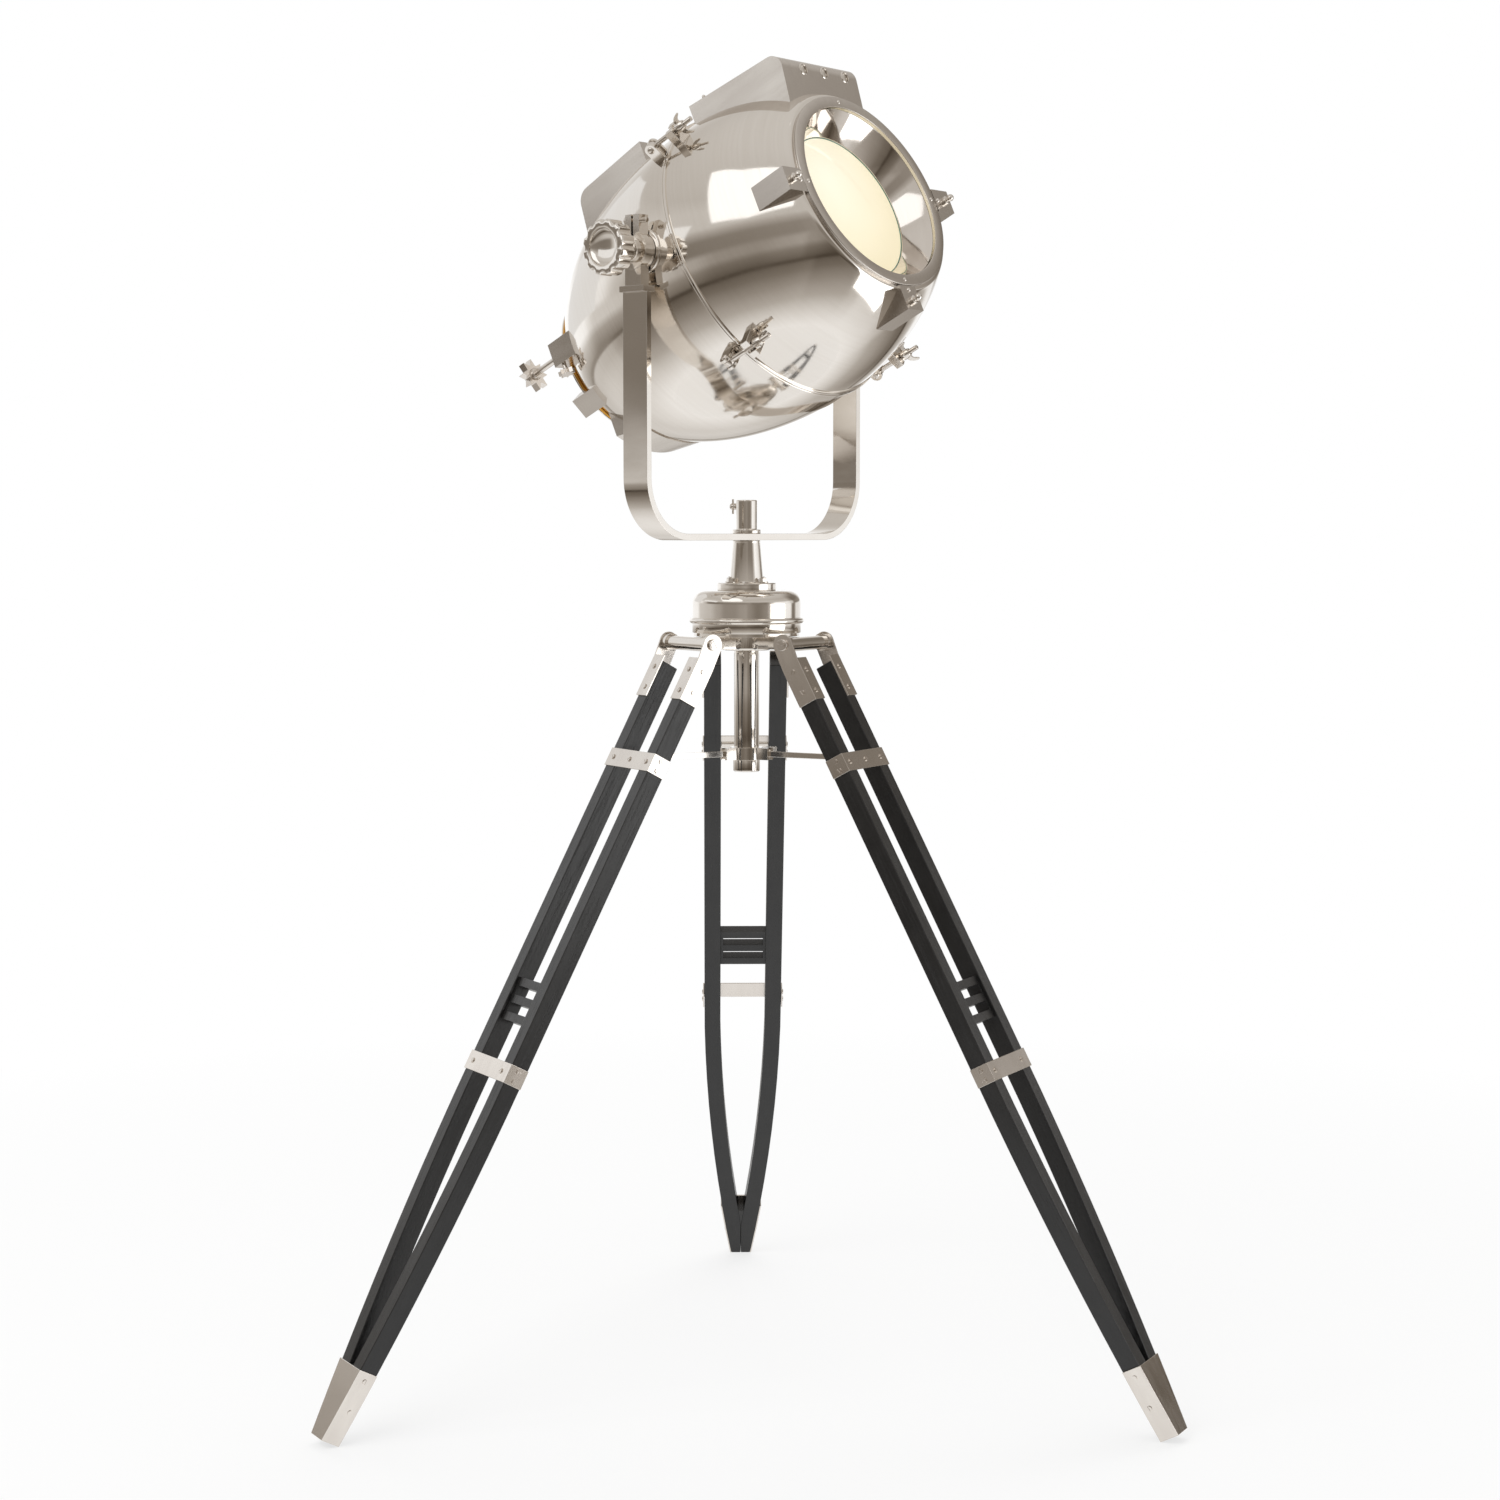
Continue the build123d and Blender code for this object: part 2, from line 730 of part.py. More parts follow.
# Collar: slides on the column and holds the stays in three forked lugs.
with BuildPart() as stay_collar:
    rod(Plane.XY.offset(collar_bottom), collar_radius, collar_height)
    for azimuth in leg_azimuths.values():
        radial, across, up, out = leg_vectors(azimuth)
        lug_place = Plane(origin=Vector(0, 0, stay_level), x_dir=across, z_dir=radial)
        block(lug_place, lug_width, collar_height - clearance, lug_reach)
    for azimuth in leg_azimuths.values():
        radial, across, up, out = leg_vectors(azimuth)
        slot_place = radial * lug_slot_start + Vector(0, 0, stay_level)
        block(
            Plane(origin=slot_place, x_dir=across, z_dir=radial),
            stay_width + stay_fit * 2,
            collar_height + overrun,
            lug_reach,
            mode=Mode.SUBTRACT,
        )
    rod(
        Plane.XY.offset(collar_bottom - overrun),
        column_radius + running_fit,
        collar_height + overrun * 2,
        mode=Mode.SUBTRACT,
    )
    for azimuth in leg_azimuths.values():
        radial, across, up, out = leg_vectors(azimuth)
        pin_start = radial * stay_pivot_radius + Vector(0, 0, stay_level) - across * (lug_width / 2)
        rod(Plane(origin=pin_start, x_dir=radial, z_dir=across), stay_pin_radius, lug_width)
save(stay_collar, "stay_collar")

# Thumb screw that locks the collar, with a flat tab to turn it by.
with BuildPart() as collar_screw:
    radial, across, up, out = leg_vectors(thumb_azimuth)
    screw_start = radial * (collar_radius + running_fit) + Vector(0, 0, stay_level)
    head_start = screw_start + radial * thumb_shank_length
    tab_start = head_start + radial * thumb_head_height
    rod(Plane(origin=screw_start, x_dir=across, z_dir=radial), thumb_shank_radius, thumb_shank_length)
    rod(Plane(origin=head_start, x_dir=across, z_dir=radial), thumb_head_radius, thumb_head_height)
    tab_centre = tab_start + radial * (thumb_tab_height / 2) - across * (thumb_tab_thickness / 2)
    with BuildSketch(Plane(origin=tab_centre, x_dir=radial, z_dir=across)) as tab:
        RectangleRounded(thumb_tab_height, thumb_tab_width, thumb_tab_thickness)
    extrude(tab.sketch, amount=thumb_tab_thickness)
save(collar_screw, "collar_screw")


# Yoke: flat strap bent into a U, bored for the pintle.
half_yoke = yoke_inner_width / 2
with BuildPart() as yoke:
    with BuildSketch(yoke_plane(-yoke_strap_width / 2)):
        with BuildLine():
            FilletPolyline(
                (-half_yoke - yoke_thickness, arm_top),
                (-half_yoke - yoke_thickness, yoke_bottom),
                (half_yoke + yoke_thickness, yoke_bottom),
                (half_yoke + yoke_thickness, arm_top),
                radius=yoke_bend_radius + yoke_thickness,
            )
            FilletPolyline(
                (-half_yoke, arm_top),
                (-half_yoke, yoke_top),
                (half_yoke, yoke_top),
                (half_yoke, arm_top),
                radius=yoke_bend_radius,
            )
            Line((-half_yoke - yoke_thickness, arm_top), (-half_yoke, arm_top))
            Line((half_yoke + yoke_thickness, arm_top), (half_yoke, arm_top))
        make_face()
    extrude(amount=yoke_strap_width)
    rod(
        Plane.XY.offset(yoke_bottom - overrun),
        pintle_radius + running_fit,
        yoke_thickness + overrun * 2,
        mode=Mode.SUBTRACT,
    )
save(yoke, "yoke")

# Clamps on the arm ends: a flared foot, a stem, and a split ring pinched by a bolt.
clamp_middle = half_yoke + yoke_thickness / 2
with BuildPart() as yoke_clamps:
    for side in (-1, 1):
        foot_top = arm_top + clamp_foot_height
        with BuildSketch(yoke_plane(-yoke_strap_width / 2)) as foot:
            with Locations((side * clamp_middle, arm_top + clamp_foot_height / 2)):
                Rectangle(clamp_foot_width, clamp_foot_height)
        extrude(foot.sketch, amount=yoke_strap_width)
        with BuildSketch(yoke_plane(-clamp_stem_depth / 2)) as stem:
            with Locations((side * clamp_middle, (foot_top + tilt_height) / 2)):
                Rectangle(clamp_stem_width, tilt_height - foot_top)
        extrude(stem.sketch, amount=clamp_stem_depth)
        ring_place = axle_plane(side, clamp_middle - clamp_ring_width / 2)
        rod(ring_place, clamp_ring_radius, clamp_ring_width)
        ear_base = Vector(0, 0, tilt_height + clamp_ring_radius + clamp_ear_height / 2)
        ear_origin = ear_base + tilt_line * (side * (clamp_middle - clamp_ring_width / 2))
        ear_plane = Plane(origin=ear_origin, x_dir=ahead * side, z_dir=tilt_line * side)
        block(ear_plane, clamp_ear_depth * 2, clamp_ear_height * 2, clamp_ring_width)
        block(ear_plane, clamp_split, clamp_split_length, clamp_ring_width, mode=Mode.SUBTRACT)
    for side in (-1, 1):
        rod(
            axle_plane(side, clamp_middle - clamp_ring_width),
            trunnion_radius + running_fit,
            clamp_ring_width * 2,
            mode=Mode.SUBTRACT,
        )
    for side in (-1, 1):
        bolt_height = tilt_height + clamp_ring_radius + clamp_ear_height
        bolt_start = tilt_line * (side * clamp_middle) - ahead * (clamp_ear_depth + clamp_bolt_head)
        bolt_origin = bolt_start + Vector(0, 0, bolt_height)
        rod(
            Plane(origin=bolt_origin, x_dir=tilt_line, z_dir=ahead),
            clamp_bolt_radius,
            (clamp_ear_depth + clamp_bolt_head) * 2,
        )
        with BuildSketch(Plane(origin=bolt_origin, x_dir=tilt_line, z_dir=ahead)) as bolt_head:
            RegularPolygon(clamp_bolt_head, 6)
        extrude(bolt_head.sketch, amount=clamp_bolt_head)
save(yoke_clamps, "yoke_clamps")

# Spigot: a capped sleeve over the pintle on top of the yoke's bar.
with BuildPart() as spigot:
    rod(Plane.XY.offset(yoke_top), spigot_base_radius, spigot_base_height)
    rod(Plane.XY.offset(yoke_top), spigot_radius, spigot_top - yoke_top)
    chamfer(spigot.edges().group_by(Axis.Z)[-1], spigot_crown / 2)
    rod(
        Plane.XY.offset(yoke_top - overrun),
        pintle_radius + running_fit,
        pintle_top + clearance - yoke_top + overrun,
        mode=Mode.SUBTRACT,
    )
save(spigot, "spigot")

# Its lock screw, with a ball head on the left.
with BuildPart() as spigot_screw:
    screw_height = Vector(0, 0, spigot_top - spigot_screw_drop)
    screw_origin = screw_height - ahead * (spigot_radius + running_fit)
    rod(
        Plane(origin=screw_origin, x_dir=tilt_line, z_dir=ahead * -1),
        spigot_screw_radius,
        spigot_screw_length,
    )
    with Locations(screw_origin - ahead * spigot_screw_length):
        Sphere(spigot_ball_radius)
    with Locations(screw_origin - ahead * spigot_screw_length):
        Box(
            spigot_screw_radius,
            spigot_screw_radius,
            spigot_bar_length,
            align=(Align.CENTER, Align.CENTER, Align.CENTER),
        )
save(spigot_screw, "spigot_screw")


# Rear half of the shell, with a rolled flange at the seam and the trunnions of the tilt axle.
def seam_flange(start, end):
    with BuildSketch(head_section()) as flange:
        with Locations(((start + end) / 2, shell_reach(seam_place) + (seam_height - shell_wall) / 2)):
            Rectangle(end - start, seam_height + shell_wall)
    revolve(flange.sketch, axis=head_axis)


with BuildPart() as rear_shell:
    for half in shell_halves(shell_back, seam_place, shell_wall):
        revolve(half, axis=head_axis)
    seam_flange(seam_place - seam_width, seam_place)
    boss_start = shell_reach(0) - shell_wall - trunnion_boss_height
    for side in (-1, 1):
        rod(
            axle_plane(side, boss_start),
            trunnion_boss_radius,
            trunnion_boss_height * 2 + shell_wall,
        )
        rod(axle_plane(side, boss_start), trunnion_radius, trunnion_reach - boss_start)
        rod(axle_plane(side, trunnion_reach), stud_radius, stud_length)
save(rear_shell, "rear_shell")

# Front half of the shell, with its mouth turned in behind the front ring.
with BuildPart() as front_shell:
    for half in shell_halves(seam_place, shell_front, shell_wall):
        revolve(half, axis=head_axis)
    seam_flange(seam_place, seam_place + seam_width)
    with BuildSketch(head_slice(shell_front - shell_wall)):
        Circle(shell_reach(shell_front))
        Circle(bezel_inner_radius + funnel_wall, mode=Mode.SUBTRACT)
    extrude(amount=shell_wall)
save(front_shell, "front_shell")

# Front ring, its outer edge rounded.
bezel_face = shell_front + bezel_thickness
with BuildPart() as bezel:
    with BuildSketch(head_slice(shell_front)):
        Circle(bezel_radius)
        Circle(bezel_inner_radius, mode=Mode.SUBTRACT)
    extrude(amount=bezel_thickness)
    front_edges = bezel.edges().filter_by(GeomType.CIRCLE).group_by(Axis(head_centre, beam))[-1]
    fillet(front_edges, bezel_edge)
save(bezel, "bezel")

# Funnel: a polished cone from the front ring back to the lens, with a cup that the lens sits in.
funnel_front = shell_front - clearance
cup_back = lens_place - lens_thickness - lens_bulge
with BuildPart() as funnel:
    with BuildSketch(head_section()):
        with BuildLine():
            Polyline(
                (funnel_front, bezel_inner_radius),
                (lens_place, lens_radius - lens_seat),
                (lens_place - funnel_wall, lens_radius - lens_seat),
                (lens_place - funnel_wall, lens_radius + running_fit),
                (cup_back, lens_radius + running_fit),
                (cup_back, lens_radius + running_fit + funnel_wall),
                (lens_place - funnel_wall, lens_radius + running_fit + funnel_wall),
                (funnel_front, bezel_inner_radius + funnel_wall),
                close=True,
            )
        make_face()
    revolve(axis=head_axis)
save(funnel, "funnel")

# Lens: flat in front and slightly domed behind.
lens_front = lens_place - funnel_wall
with BuildPart() as lens:
    with BuildSketch(head_section()):
        with BuildLine():
            Line((lens_front, 0), (lens_front, lens_radius))
            Line((lens_front, lens_radius), (lens_front - lens_thickness, lens_radius))
            TangentArc(
                (lens_front - lens_thickness - lens_bulge, 0),
                (lens_front - lens_thickness, lens_radius),
                tangent=(0, 1),
            )
            Line((lens_front - lens_thickness - lens_bulge, 0), (lens_front, 0))
        make_face()
    revolve(axis=head_axis)
save(lens, "lens")


# Hood of sheet metal: an outline of the head's section drawn across a width, hollow, and cut to sit
# on the shell.
def make_hood(points, width, corner_radii, holes=()):
    with BuildPart() as hood:
        with BuildSketch(head_section(0, -width / 2)) as outside:
            with BuildLine():
                FilletPolyline(*points, radius=corner_radii, close=True)
            make_face()
        extrude(outside.sketch, amount=width)
        with BuildSketch(head_section(0, -width / 2 + hood_wall)) as inside:
            with BuildLine():
                FilletPolyline(*points, radius=corner_radii, close=True)
            make_face()
            offset(amount=-hood_wall)
        extrude(inside.sketch, amount=width - hood_wall * 2, mode=Mode.SUBTRACT)
        add(shell_form.part, mode=Mode.SUBTRACT)
        for hole in holes:
            rod(hole, hood_hole_radius, hood_wall * 4, mode=Mode.SUBTRACT)
    return hood


front_hood_back = seam_place + seam_width + clearance
front_hood_points = [
    (front_hood_back, shell_reach(seam_place) / 2),
    (front_hood_back, front_hood_reach),
    (front_hood_ridge, front_hood_ridge_reach),
    (front_hood_face, front_hood_foot),
    (front_hood_face, shell_reach(seam_place) / 2),
]
# Row of air holes through the face of the front hood, a little below its ridge.
face_run = front_hood_face - front_hood_ridge
face_fall = front_hood_ridge_reach - front_hood_foot
face_share = hood_hole_drop / math.hypot(face_run, face_fall)
hole_middle = (
    head_centre
    + beam * (front_hood_ridge + face_run * face_share)
    + head_up * (front_hood_ridge_reach - face_fall * face_share)
)
face_way = (beam * face_fall + head_up * face_run).normalized()
front_hood_holes = []
for number in range(hood_hole_count):
    sideways = hood_hole_offset + hood_hole_pitch * (number - (hood_hole_count - 1) / 2)
    hole_start = hole_middle + tilt_line * sideways - face_way * (hood_wall * 2)
    front_hood_holes.append(Plane(origin=hole_start, x_dir=tilt_line, z_dir=face_way))
front_hood = make_hood(front_hood_points, hood_width, [0, 0, hood_corner, 0, 0], front_hood_holes)
save(front_hood, "front_hood")

rear_hood_points = [
    (rear_hood_front, shell_reach(rear_hood_face) / 2),
    (rear_hood_front, rear_hood_reach),
    (rear_hood_ridge, rear_hood_ridge_reach),
    (rear_hood_face, rear_hood_foot),
    (rear_hood_face, shell_reach(rear_hood_face) / 2),
]
rear_hood = make_hood(rear_hood_points, hood_width, [0, 0, hood_corner, 0, 0])
save(rear_hood, "rear_hood")


# Form of the bottom hood, a sector of a band round the head's axis, drawn in by an inset all round.
def make_scoop(back, inset=0.0):
    front_reach = shell_reach(bottom_hood_front) + hood_wall
    with BuildPart() as scoop:
        with BuildSketch(head_section(180)) as outline:
            with BuildLine():
                Polyline(
                    (bottom_hood_front, 0),
                    (bottom_hood_front, front_reach - inset),
                    (bottom_hood_back - overrun, bottom_hood_back_reach - inset),
                    (bottom_hood_back - overrun, 0),
                    close=True,
                )
            make_face()
        revolve(outline.sketch, axis=head_axis)
        block(
            head_slice(back, 180, girth_radius / 2),
            hood_width - inset * 2,
            girth_radius,
            bottom_hood_front - back,
            mode=Mode.INTERSECT,
        )
    return scoop.part


with BuildPart() as bottom_hood:
    add(make_scoop(bottom_hood_back))
    add(make_scoop(bottom_hood_back - overrun, hood_wall), mode=Mode.SUBTRACT)
    add(shell_form.part, mode=Mode.SUBTRACT)
save(bottom_hood, "bottom_hood")

# Rear cover: a shallow dish with a centre boss, on a brass ring that seals it to the shell.
ring_back = shell_back - cover_ring_width
with BuildPart() as rear_ring:
    with BuildSketch(head_slice(shell_back, facing=-1)):
        Circle(cover_ring_radius)
        Circle(cover_ring_inner, mode=Mode.SUBTRACT)
    extrude(amount=cover_ring_width)
save(rear_ring, "rear_ring")

with BuildPart() as rear_cover:
    with BuildSketch(head_section()):
        with BuildLine():
            Line((ring_back, 0), (ring_back, cover_ring_radius))
            Line((ring_back, cover_ring_radius), (ring_back - rear_cover_wall, cover_ring_radius))
            TangentArc(
                (ring_back - rear_cover_wall - rear_cover_dome, 0),
                (ring_back - rear_cover_wall, cover_ring_radius),
                tangent=(0, 1),
            )
            Line((ring_back - rear_cover_wall - rear_cover_dome, 0), (ring_back, 0))
        make_face()
    revolve(axis=head_axis)
save(rear_cover, "rear_cover")


# Clips: wedge-shaped blocks on the shell. Those in front hold the front ring, those behind the cover.
def wedge(angle, back, front, reach, foot, width, sideways=0.0):
    with BuildSketch(head_section(angle, sideways - width / 2)) as outline:
        with BuildLine():
            Polyline(
                (back, foot),
                (back, reach),
                (front, reach),
                (front, foot),
                close=True,
            )
        make_face()
    extrude(outline.sketch, amount=width)


with BuildPart() as clips:
    for angle in front_clip_angles:
        wedge(
            angle, front_clip_back, front_clip_face, front_clip_reach, front_clip_foot, front_clip_width
        )
    for angle in rear_clip_angles:
        wedge(angle, rear_clip_face, rear_clip_front, rear_clip_reach, rear_clip_foot, rear_clip_width)
    add(shell_form.part, mode=Mode.SUBTRACT)
    rod(head_slice(shell_front), bezel_radius, bezel_thickness, mode=Mode.SUBTRACT)
    rod(
        head_slice(shell_back, facing=-1),
        cover_ring_radius,
        cover_ring_width + rear_cover_wall + rear_cover_dome,
        mode=Mode.SUBTRACT,
    )
save(clips, "clips")

with BuildPart() as clip_screws:
    for angle in front_clip_angles:
        screw_reach = front_clip_reach - clip_screw_drop
        rod(head_slice(front_clip_face, angle, screw_reach), clip_screw_radius, clip_screw_length)
        rod(head_slice(front_clip_face, angle, screw_reach), clip_knurl_radius, clip_knurl_length)
        ball_place = front_clip_face + clip_screw_length + clip_ball_radius / 2
        ball_plane = head_slice(ball_place, angle, screw_reach)
        with Locations(ball_plane.origin):
            Sphere(clip_ball_radius)
save(clip_screws, "clip_screws")

# Latches across the seam: an eye bolt hinged in a forked lug on the rear shell lies in an open fork on
# the front shell and is drawn up by a wing nut.
lug_floor = shell_reach(latch_pin_place) - shell_wall
with BuildPart() as latch_lugs:
    for angle in latch_angles:
        for side in (-1, 1):
            inner = bolt_eye_width / 2 + stay_fit
            start = inner if side > 0 else -inner - latch_ear_thickness
            with BuildSketch(head_section(angle, start)) as ear:
                with Locations((latch_pin_place, (lug_floor + latch_pin_reach) / 2)):
                    Rectangle(latch_ear_radius * 2, latch_pin_reach - lug_floor)
                with Locations((latch_pin_place, latch_pin_reach)):
                    Circle(latch_ear_radius)
            extrude(ear.sketch, amount=latch_ear_thickness)
        pin_half_length = bolt_eye_width / 2 + stay_fit + latch_ear_thickness
        with BuildSketch(head_section(angle, -pin_half_length)) as pin:
            with Locations((latch_pin_place, latch_pin_reach)):
                Circle(latch_pin_radius)
        extrude(pin.sketch, amount=pin_half_length * 2)
    add(shell_form.part, mode=Mode.SUBTRACT)
save(latch_lugs, "latch_lugs")

fork_front = fork_place + fork_thickness
fork_top = latch_pin_reach + fork_rise
fork_floor = shell_reach(fork_front) - shell_wall
with BuildPart() as latch_forks:
    for angle in latch_angles:
        with BuildSketch(head_slice(fork_place, angle)) as fork:
            with Locations((0, (fork_floor + fork_top) / 2)):
                Rectangle(fork_width, fork_top - fork_floor)
            with Locations((0, latch_pin_reach)):
                Circle(fork_slot / 2, mode=Mode.SUBTRACT)
            with Locations((0, latch_pin_reach + fork_rise / 2)):
                Rectangle(fork_slot, fork_rise, mode=Mode.SUBTRACT)
        extrude(fork.sketch, amount=fork_thickness)
    add(shell_form.part, mode=Mode.SUBTRACT)
save(latch_forks, "latch_forks")

nut_place = fork_front + nut_gap
for number, angle in enumerate(latch_angles, start=1):
    with BuildPart() as swing_bolt:
        with BuildSketch(head_section(angle, -bolt_eye_width / 2)) as eye:
            with Locations((latch_pin_place, latch_pin_reach)):
                Circle(bolt_eye_radius)
        extrude(eye.sketch, amount=bolt_eye_width)
        rod(head_slice(latch_pin_place, angle, latch_pin_reach), bolt_radius, bolt_length)
        with BuildSketch(head_section(angle, -bolt_eye_width)) as eye_hole:
            with Locations((latch_pin_place, latch_pin_reach)):
                Circle(latch_pin_radius + running_fit)
        extrude(eye_hole.sketch, amount=bolt_eye_width * 2, mode=Mode.SUBTRACT)
    save(swing_bolt, "swing_bolt_" + str(number))
    with BuildPart() as wing_nut:
        rod(head_slice(nut_place, angle, latch_pin_reach), nut_radius, nut_height)
        wing_place = head_slice(nut_place + nut_wing_setback, angle, latch_pin_reach)
        block(wing_place, nut_wing_reach * 2, nut_wing_thickness, nut_wing_height)
        rod(
            head_slice(nut_place - overrun, angle, latch_pin_reach),
            bolt_radius + running_fit,
            nut_height + nut_wing_height + overrun,
            mode=Mode.SUBTRACT,
        )
    save(wing_nut, "wing_nut_" + str(number))

# Switch box on the left of the rear shell, with a star knob on a long shaft behind and a small star
# knob underneath.
with BuildPart() as switch_box:
    wedge(
        switch_box_angle,
        switch_box_face,
        switch_box_front,
        switch_box_reach,
        switch_box_foot,
        switch_box_width,
        -switch_box_offset,
    )
    add(shell_form.part, mode=Mode.SUBTRACT)
    rod(
        head_slice(shell_back, facing=-1),
        cover_ring_radius,
        cover_ring_width + rear_cover_wall + rear_cover_dome,
        mode=Mode.SUBTRACT,
    )
save(switch_box, "switch_box")


# Star outline with pointed rays.
def star(place, radius, thickness):
    rays = []
    for step in range(star_points * 2):
        reach = radius if step % 2 == 0 else radius * star_core_share
        turn = math.pi * step / star_points
        rays.append((reach * math.cos(turn), reach * math.sin(turn)))
    with BuildSketch(place) as outline:
        with BuildLine():
            Polyline(*rays, close=True)
        make_face()
    extrude(outline.sketch, amount=thickness)


left_of_head = tilt_line * -1
box_middle = head_centre + left_of_head * focus_shaft_reach + head_up * switch_box_offset
with BuildPart() as focus_knob:
    shaft_start = box_middle + beam * (switch_box_face - running_fit)
    knob_start = shaft_start - beam * focus_shaft_length
    rod(
        Plane(origin=shaft_start, x_dir=tilt_line, z_dir=beam * -1),
        focus_shaft_radius,
        focus_shaft_length,
    )
    star(
        Plane(origin=knob_start, x_dir=tilt_line, z_dir=beam * -1),
        focus_star_radius,
        focus_star_thickness,
    )
    rod(
        Plane(origin=knob_start, x_dir=tilt_line, z_dir=beam * -1),
        focus_star_radius * hub_share,
        focus_star_thickness + focus_shaft_radius / 2,
    )
save(focus_knob, "focus_knob")

with BuildPart() as switch_knob:
    drop = switch_box_width / 2 + running_fit
    knob_origin = (
        head_centre
        + left_of_head * switch_shaft_reach
        + head_up * (switch_box_offset - drop)
        + beam * switch_shaft_place
    )
    rod(
        Plane(origin=knob_origin, x_dir=beam, z_dir=head_up * -1),
        switch_shaft_radius,
        switch_shaft_length,
    )
    star_origin = knob_origin - head_up * switch_shaft_length
    star(
        Plane(origin=star_origin, x_dir=beam, z_dir=head_up * -1), switch_star_radius, switch_star_thickness
    )
save(switch_knob, "switch_knob")

# Tilt knobs: thick scalloped discs with a dished face and a centre button, screwed on the studs.
knob_bottom = trunnion_reach + clearance
for name, side in (("tilt_knob_left", -1), ("tilt_knob_right", 1)):
    with BuildPart() as tilt_knob:
        with BuildSketch(axle_plane(side, knob_place)) as disc:
            Circle(knob_radius)
            with PolarLocations(knob_radius + knob_scoop_radius * knob_scoop_share, knob_lobes):
                Circle(knob_scoop_radius, mode=Mode.SUBTRACT)
        extrude(disc.sketch, amount=knob_thickness)
        face = knob_place + knob_thickness
        rod(axle_plane(side, face - knob_dish_depth), knob_dish_radius, overrun, mode=Mode.SUBTRACT)
        rod(axle_plane(side, face - knob_dish_depth), knob_button_radius, knob_button_height)
        rod(axle_plane(side, knob_bottom), knob_neck_radius, knob_place - knob_bottom)
        rod(
            axle_plane(side, knob_bottom - overrun),
            stud_radius + running_fit,
            stud_length + overrun,
            mode=Mode.SUBTRACT,
        )
    save(tilt_knob, name)

# Holder on a stem from the rear cover, and the bulb in it.
with BuildPart() as bulb_holder:
    rod(head_slice(ring_back), holder_stem_radius, holder_back - ring_back)
    rod(head_slice(holder_back), holder_radius, holder_front - holder_back)
    rod(
        head_slice(holder_front - bulb_screw_depth),
        bulb_neck_radius,
        bulb_screw_depth + overrun,
        mode=Mode.SUBTRACT,
    )
save(bulb_holder, "bulb_holder")

with BuildPart() as bulb:
    rod(
        head_slice(holder_front - bulb_screw_depth),
        bulb_neck_radius,
        bulb_centre - holder_front + bulb_screw_depth,
    )
    with Locations(head_centre + beam * bulb_centre):
        Sphere(bulb_radius)
save(bulb, "bulb")
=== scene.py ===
import bpy
import bmesh
import json
import math
from mathutils import Matrix, Vector

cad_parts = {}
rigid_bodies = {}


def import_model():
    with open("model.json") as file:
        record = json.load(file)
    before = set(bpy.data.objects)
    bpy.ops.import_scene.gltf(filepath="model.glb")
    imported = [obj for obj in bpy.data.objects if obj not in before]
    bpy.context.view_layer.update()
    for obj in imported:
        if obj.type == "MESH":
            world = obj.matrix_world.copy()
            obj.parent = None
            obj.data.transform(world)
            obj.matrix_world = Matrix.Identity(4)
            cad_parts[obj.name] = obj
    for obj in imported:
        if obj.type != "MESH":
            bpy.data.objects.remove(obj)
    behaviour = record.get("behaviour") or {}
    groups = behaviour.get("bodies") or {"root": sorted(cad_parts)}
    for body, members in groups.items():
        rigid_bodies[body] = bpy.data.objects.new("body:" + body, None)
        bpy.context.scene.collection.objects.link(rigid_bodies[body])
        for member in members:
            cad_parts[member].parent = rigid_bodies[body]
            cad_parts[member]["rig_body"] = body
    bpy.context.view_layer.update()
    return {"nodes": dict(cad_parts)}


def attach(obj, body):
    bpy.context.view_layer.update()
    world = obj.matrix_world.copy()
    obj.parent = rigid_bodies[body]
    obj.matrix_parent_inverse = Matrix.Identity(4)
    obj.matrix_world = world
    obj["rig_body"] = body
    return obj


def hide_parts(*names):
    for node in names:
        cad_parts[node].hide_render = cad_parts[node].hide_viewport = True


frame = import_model()
cadNodes = frame["nodes"]
mm = 0.001
scene = bpy.context.scene
scene.view_settings.view_transform = "Standard"
print("frame loaded:", len(cadNodes), "nodes")

# Where things are: the head, the yoke and the three legs each have their own axes.
stand = {"legLean": 28.34, "footRadius": 560.0, "azimuths": {"left": 210, "right": 330, "back": 90}}
pose = {"heading": -41.23, "elevation": 24.98, "tiltHeight": 1386.1, "axleAboveAxis": 15.3}


def axesAt(origin, xWay, yWay, zWay):
    grid = Matrix((xWay, yWay, zWay)).transposed().to_4x4()
    grid.translation = Vector(origin) * mm
    return grid


def aim(origin, zWay, xHint=(1, 0, 0)):  # local frame in millimetres, z along zWay
    z = Vector(zWay).normalized()
    x = Vector(xHint)
    x = (x - z * x.dot(z)).normalized()
    grid = Matrix((x, z.cross(x), z)).transposed().to_4x4()
    grid.translation = Vector(origin)
    return grid


def outAt(degrees):  # level direction at an azimuth
    return Vector((math.cos(math.radians(degrees)), math.sin(math.radians(degrees)), 0))


def acrossAt(degrees):  # level direction square to it
    return Vector((-math.sin(math.radians(degrees)), math.cos(math.radians(degrees)), 0))


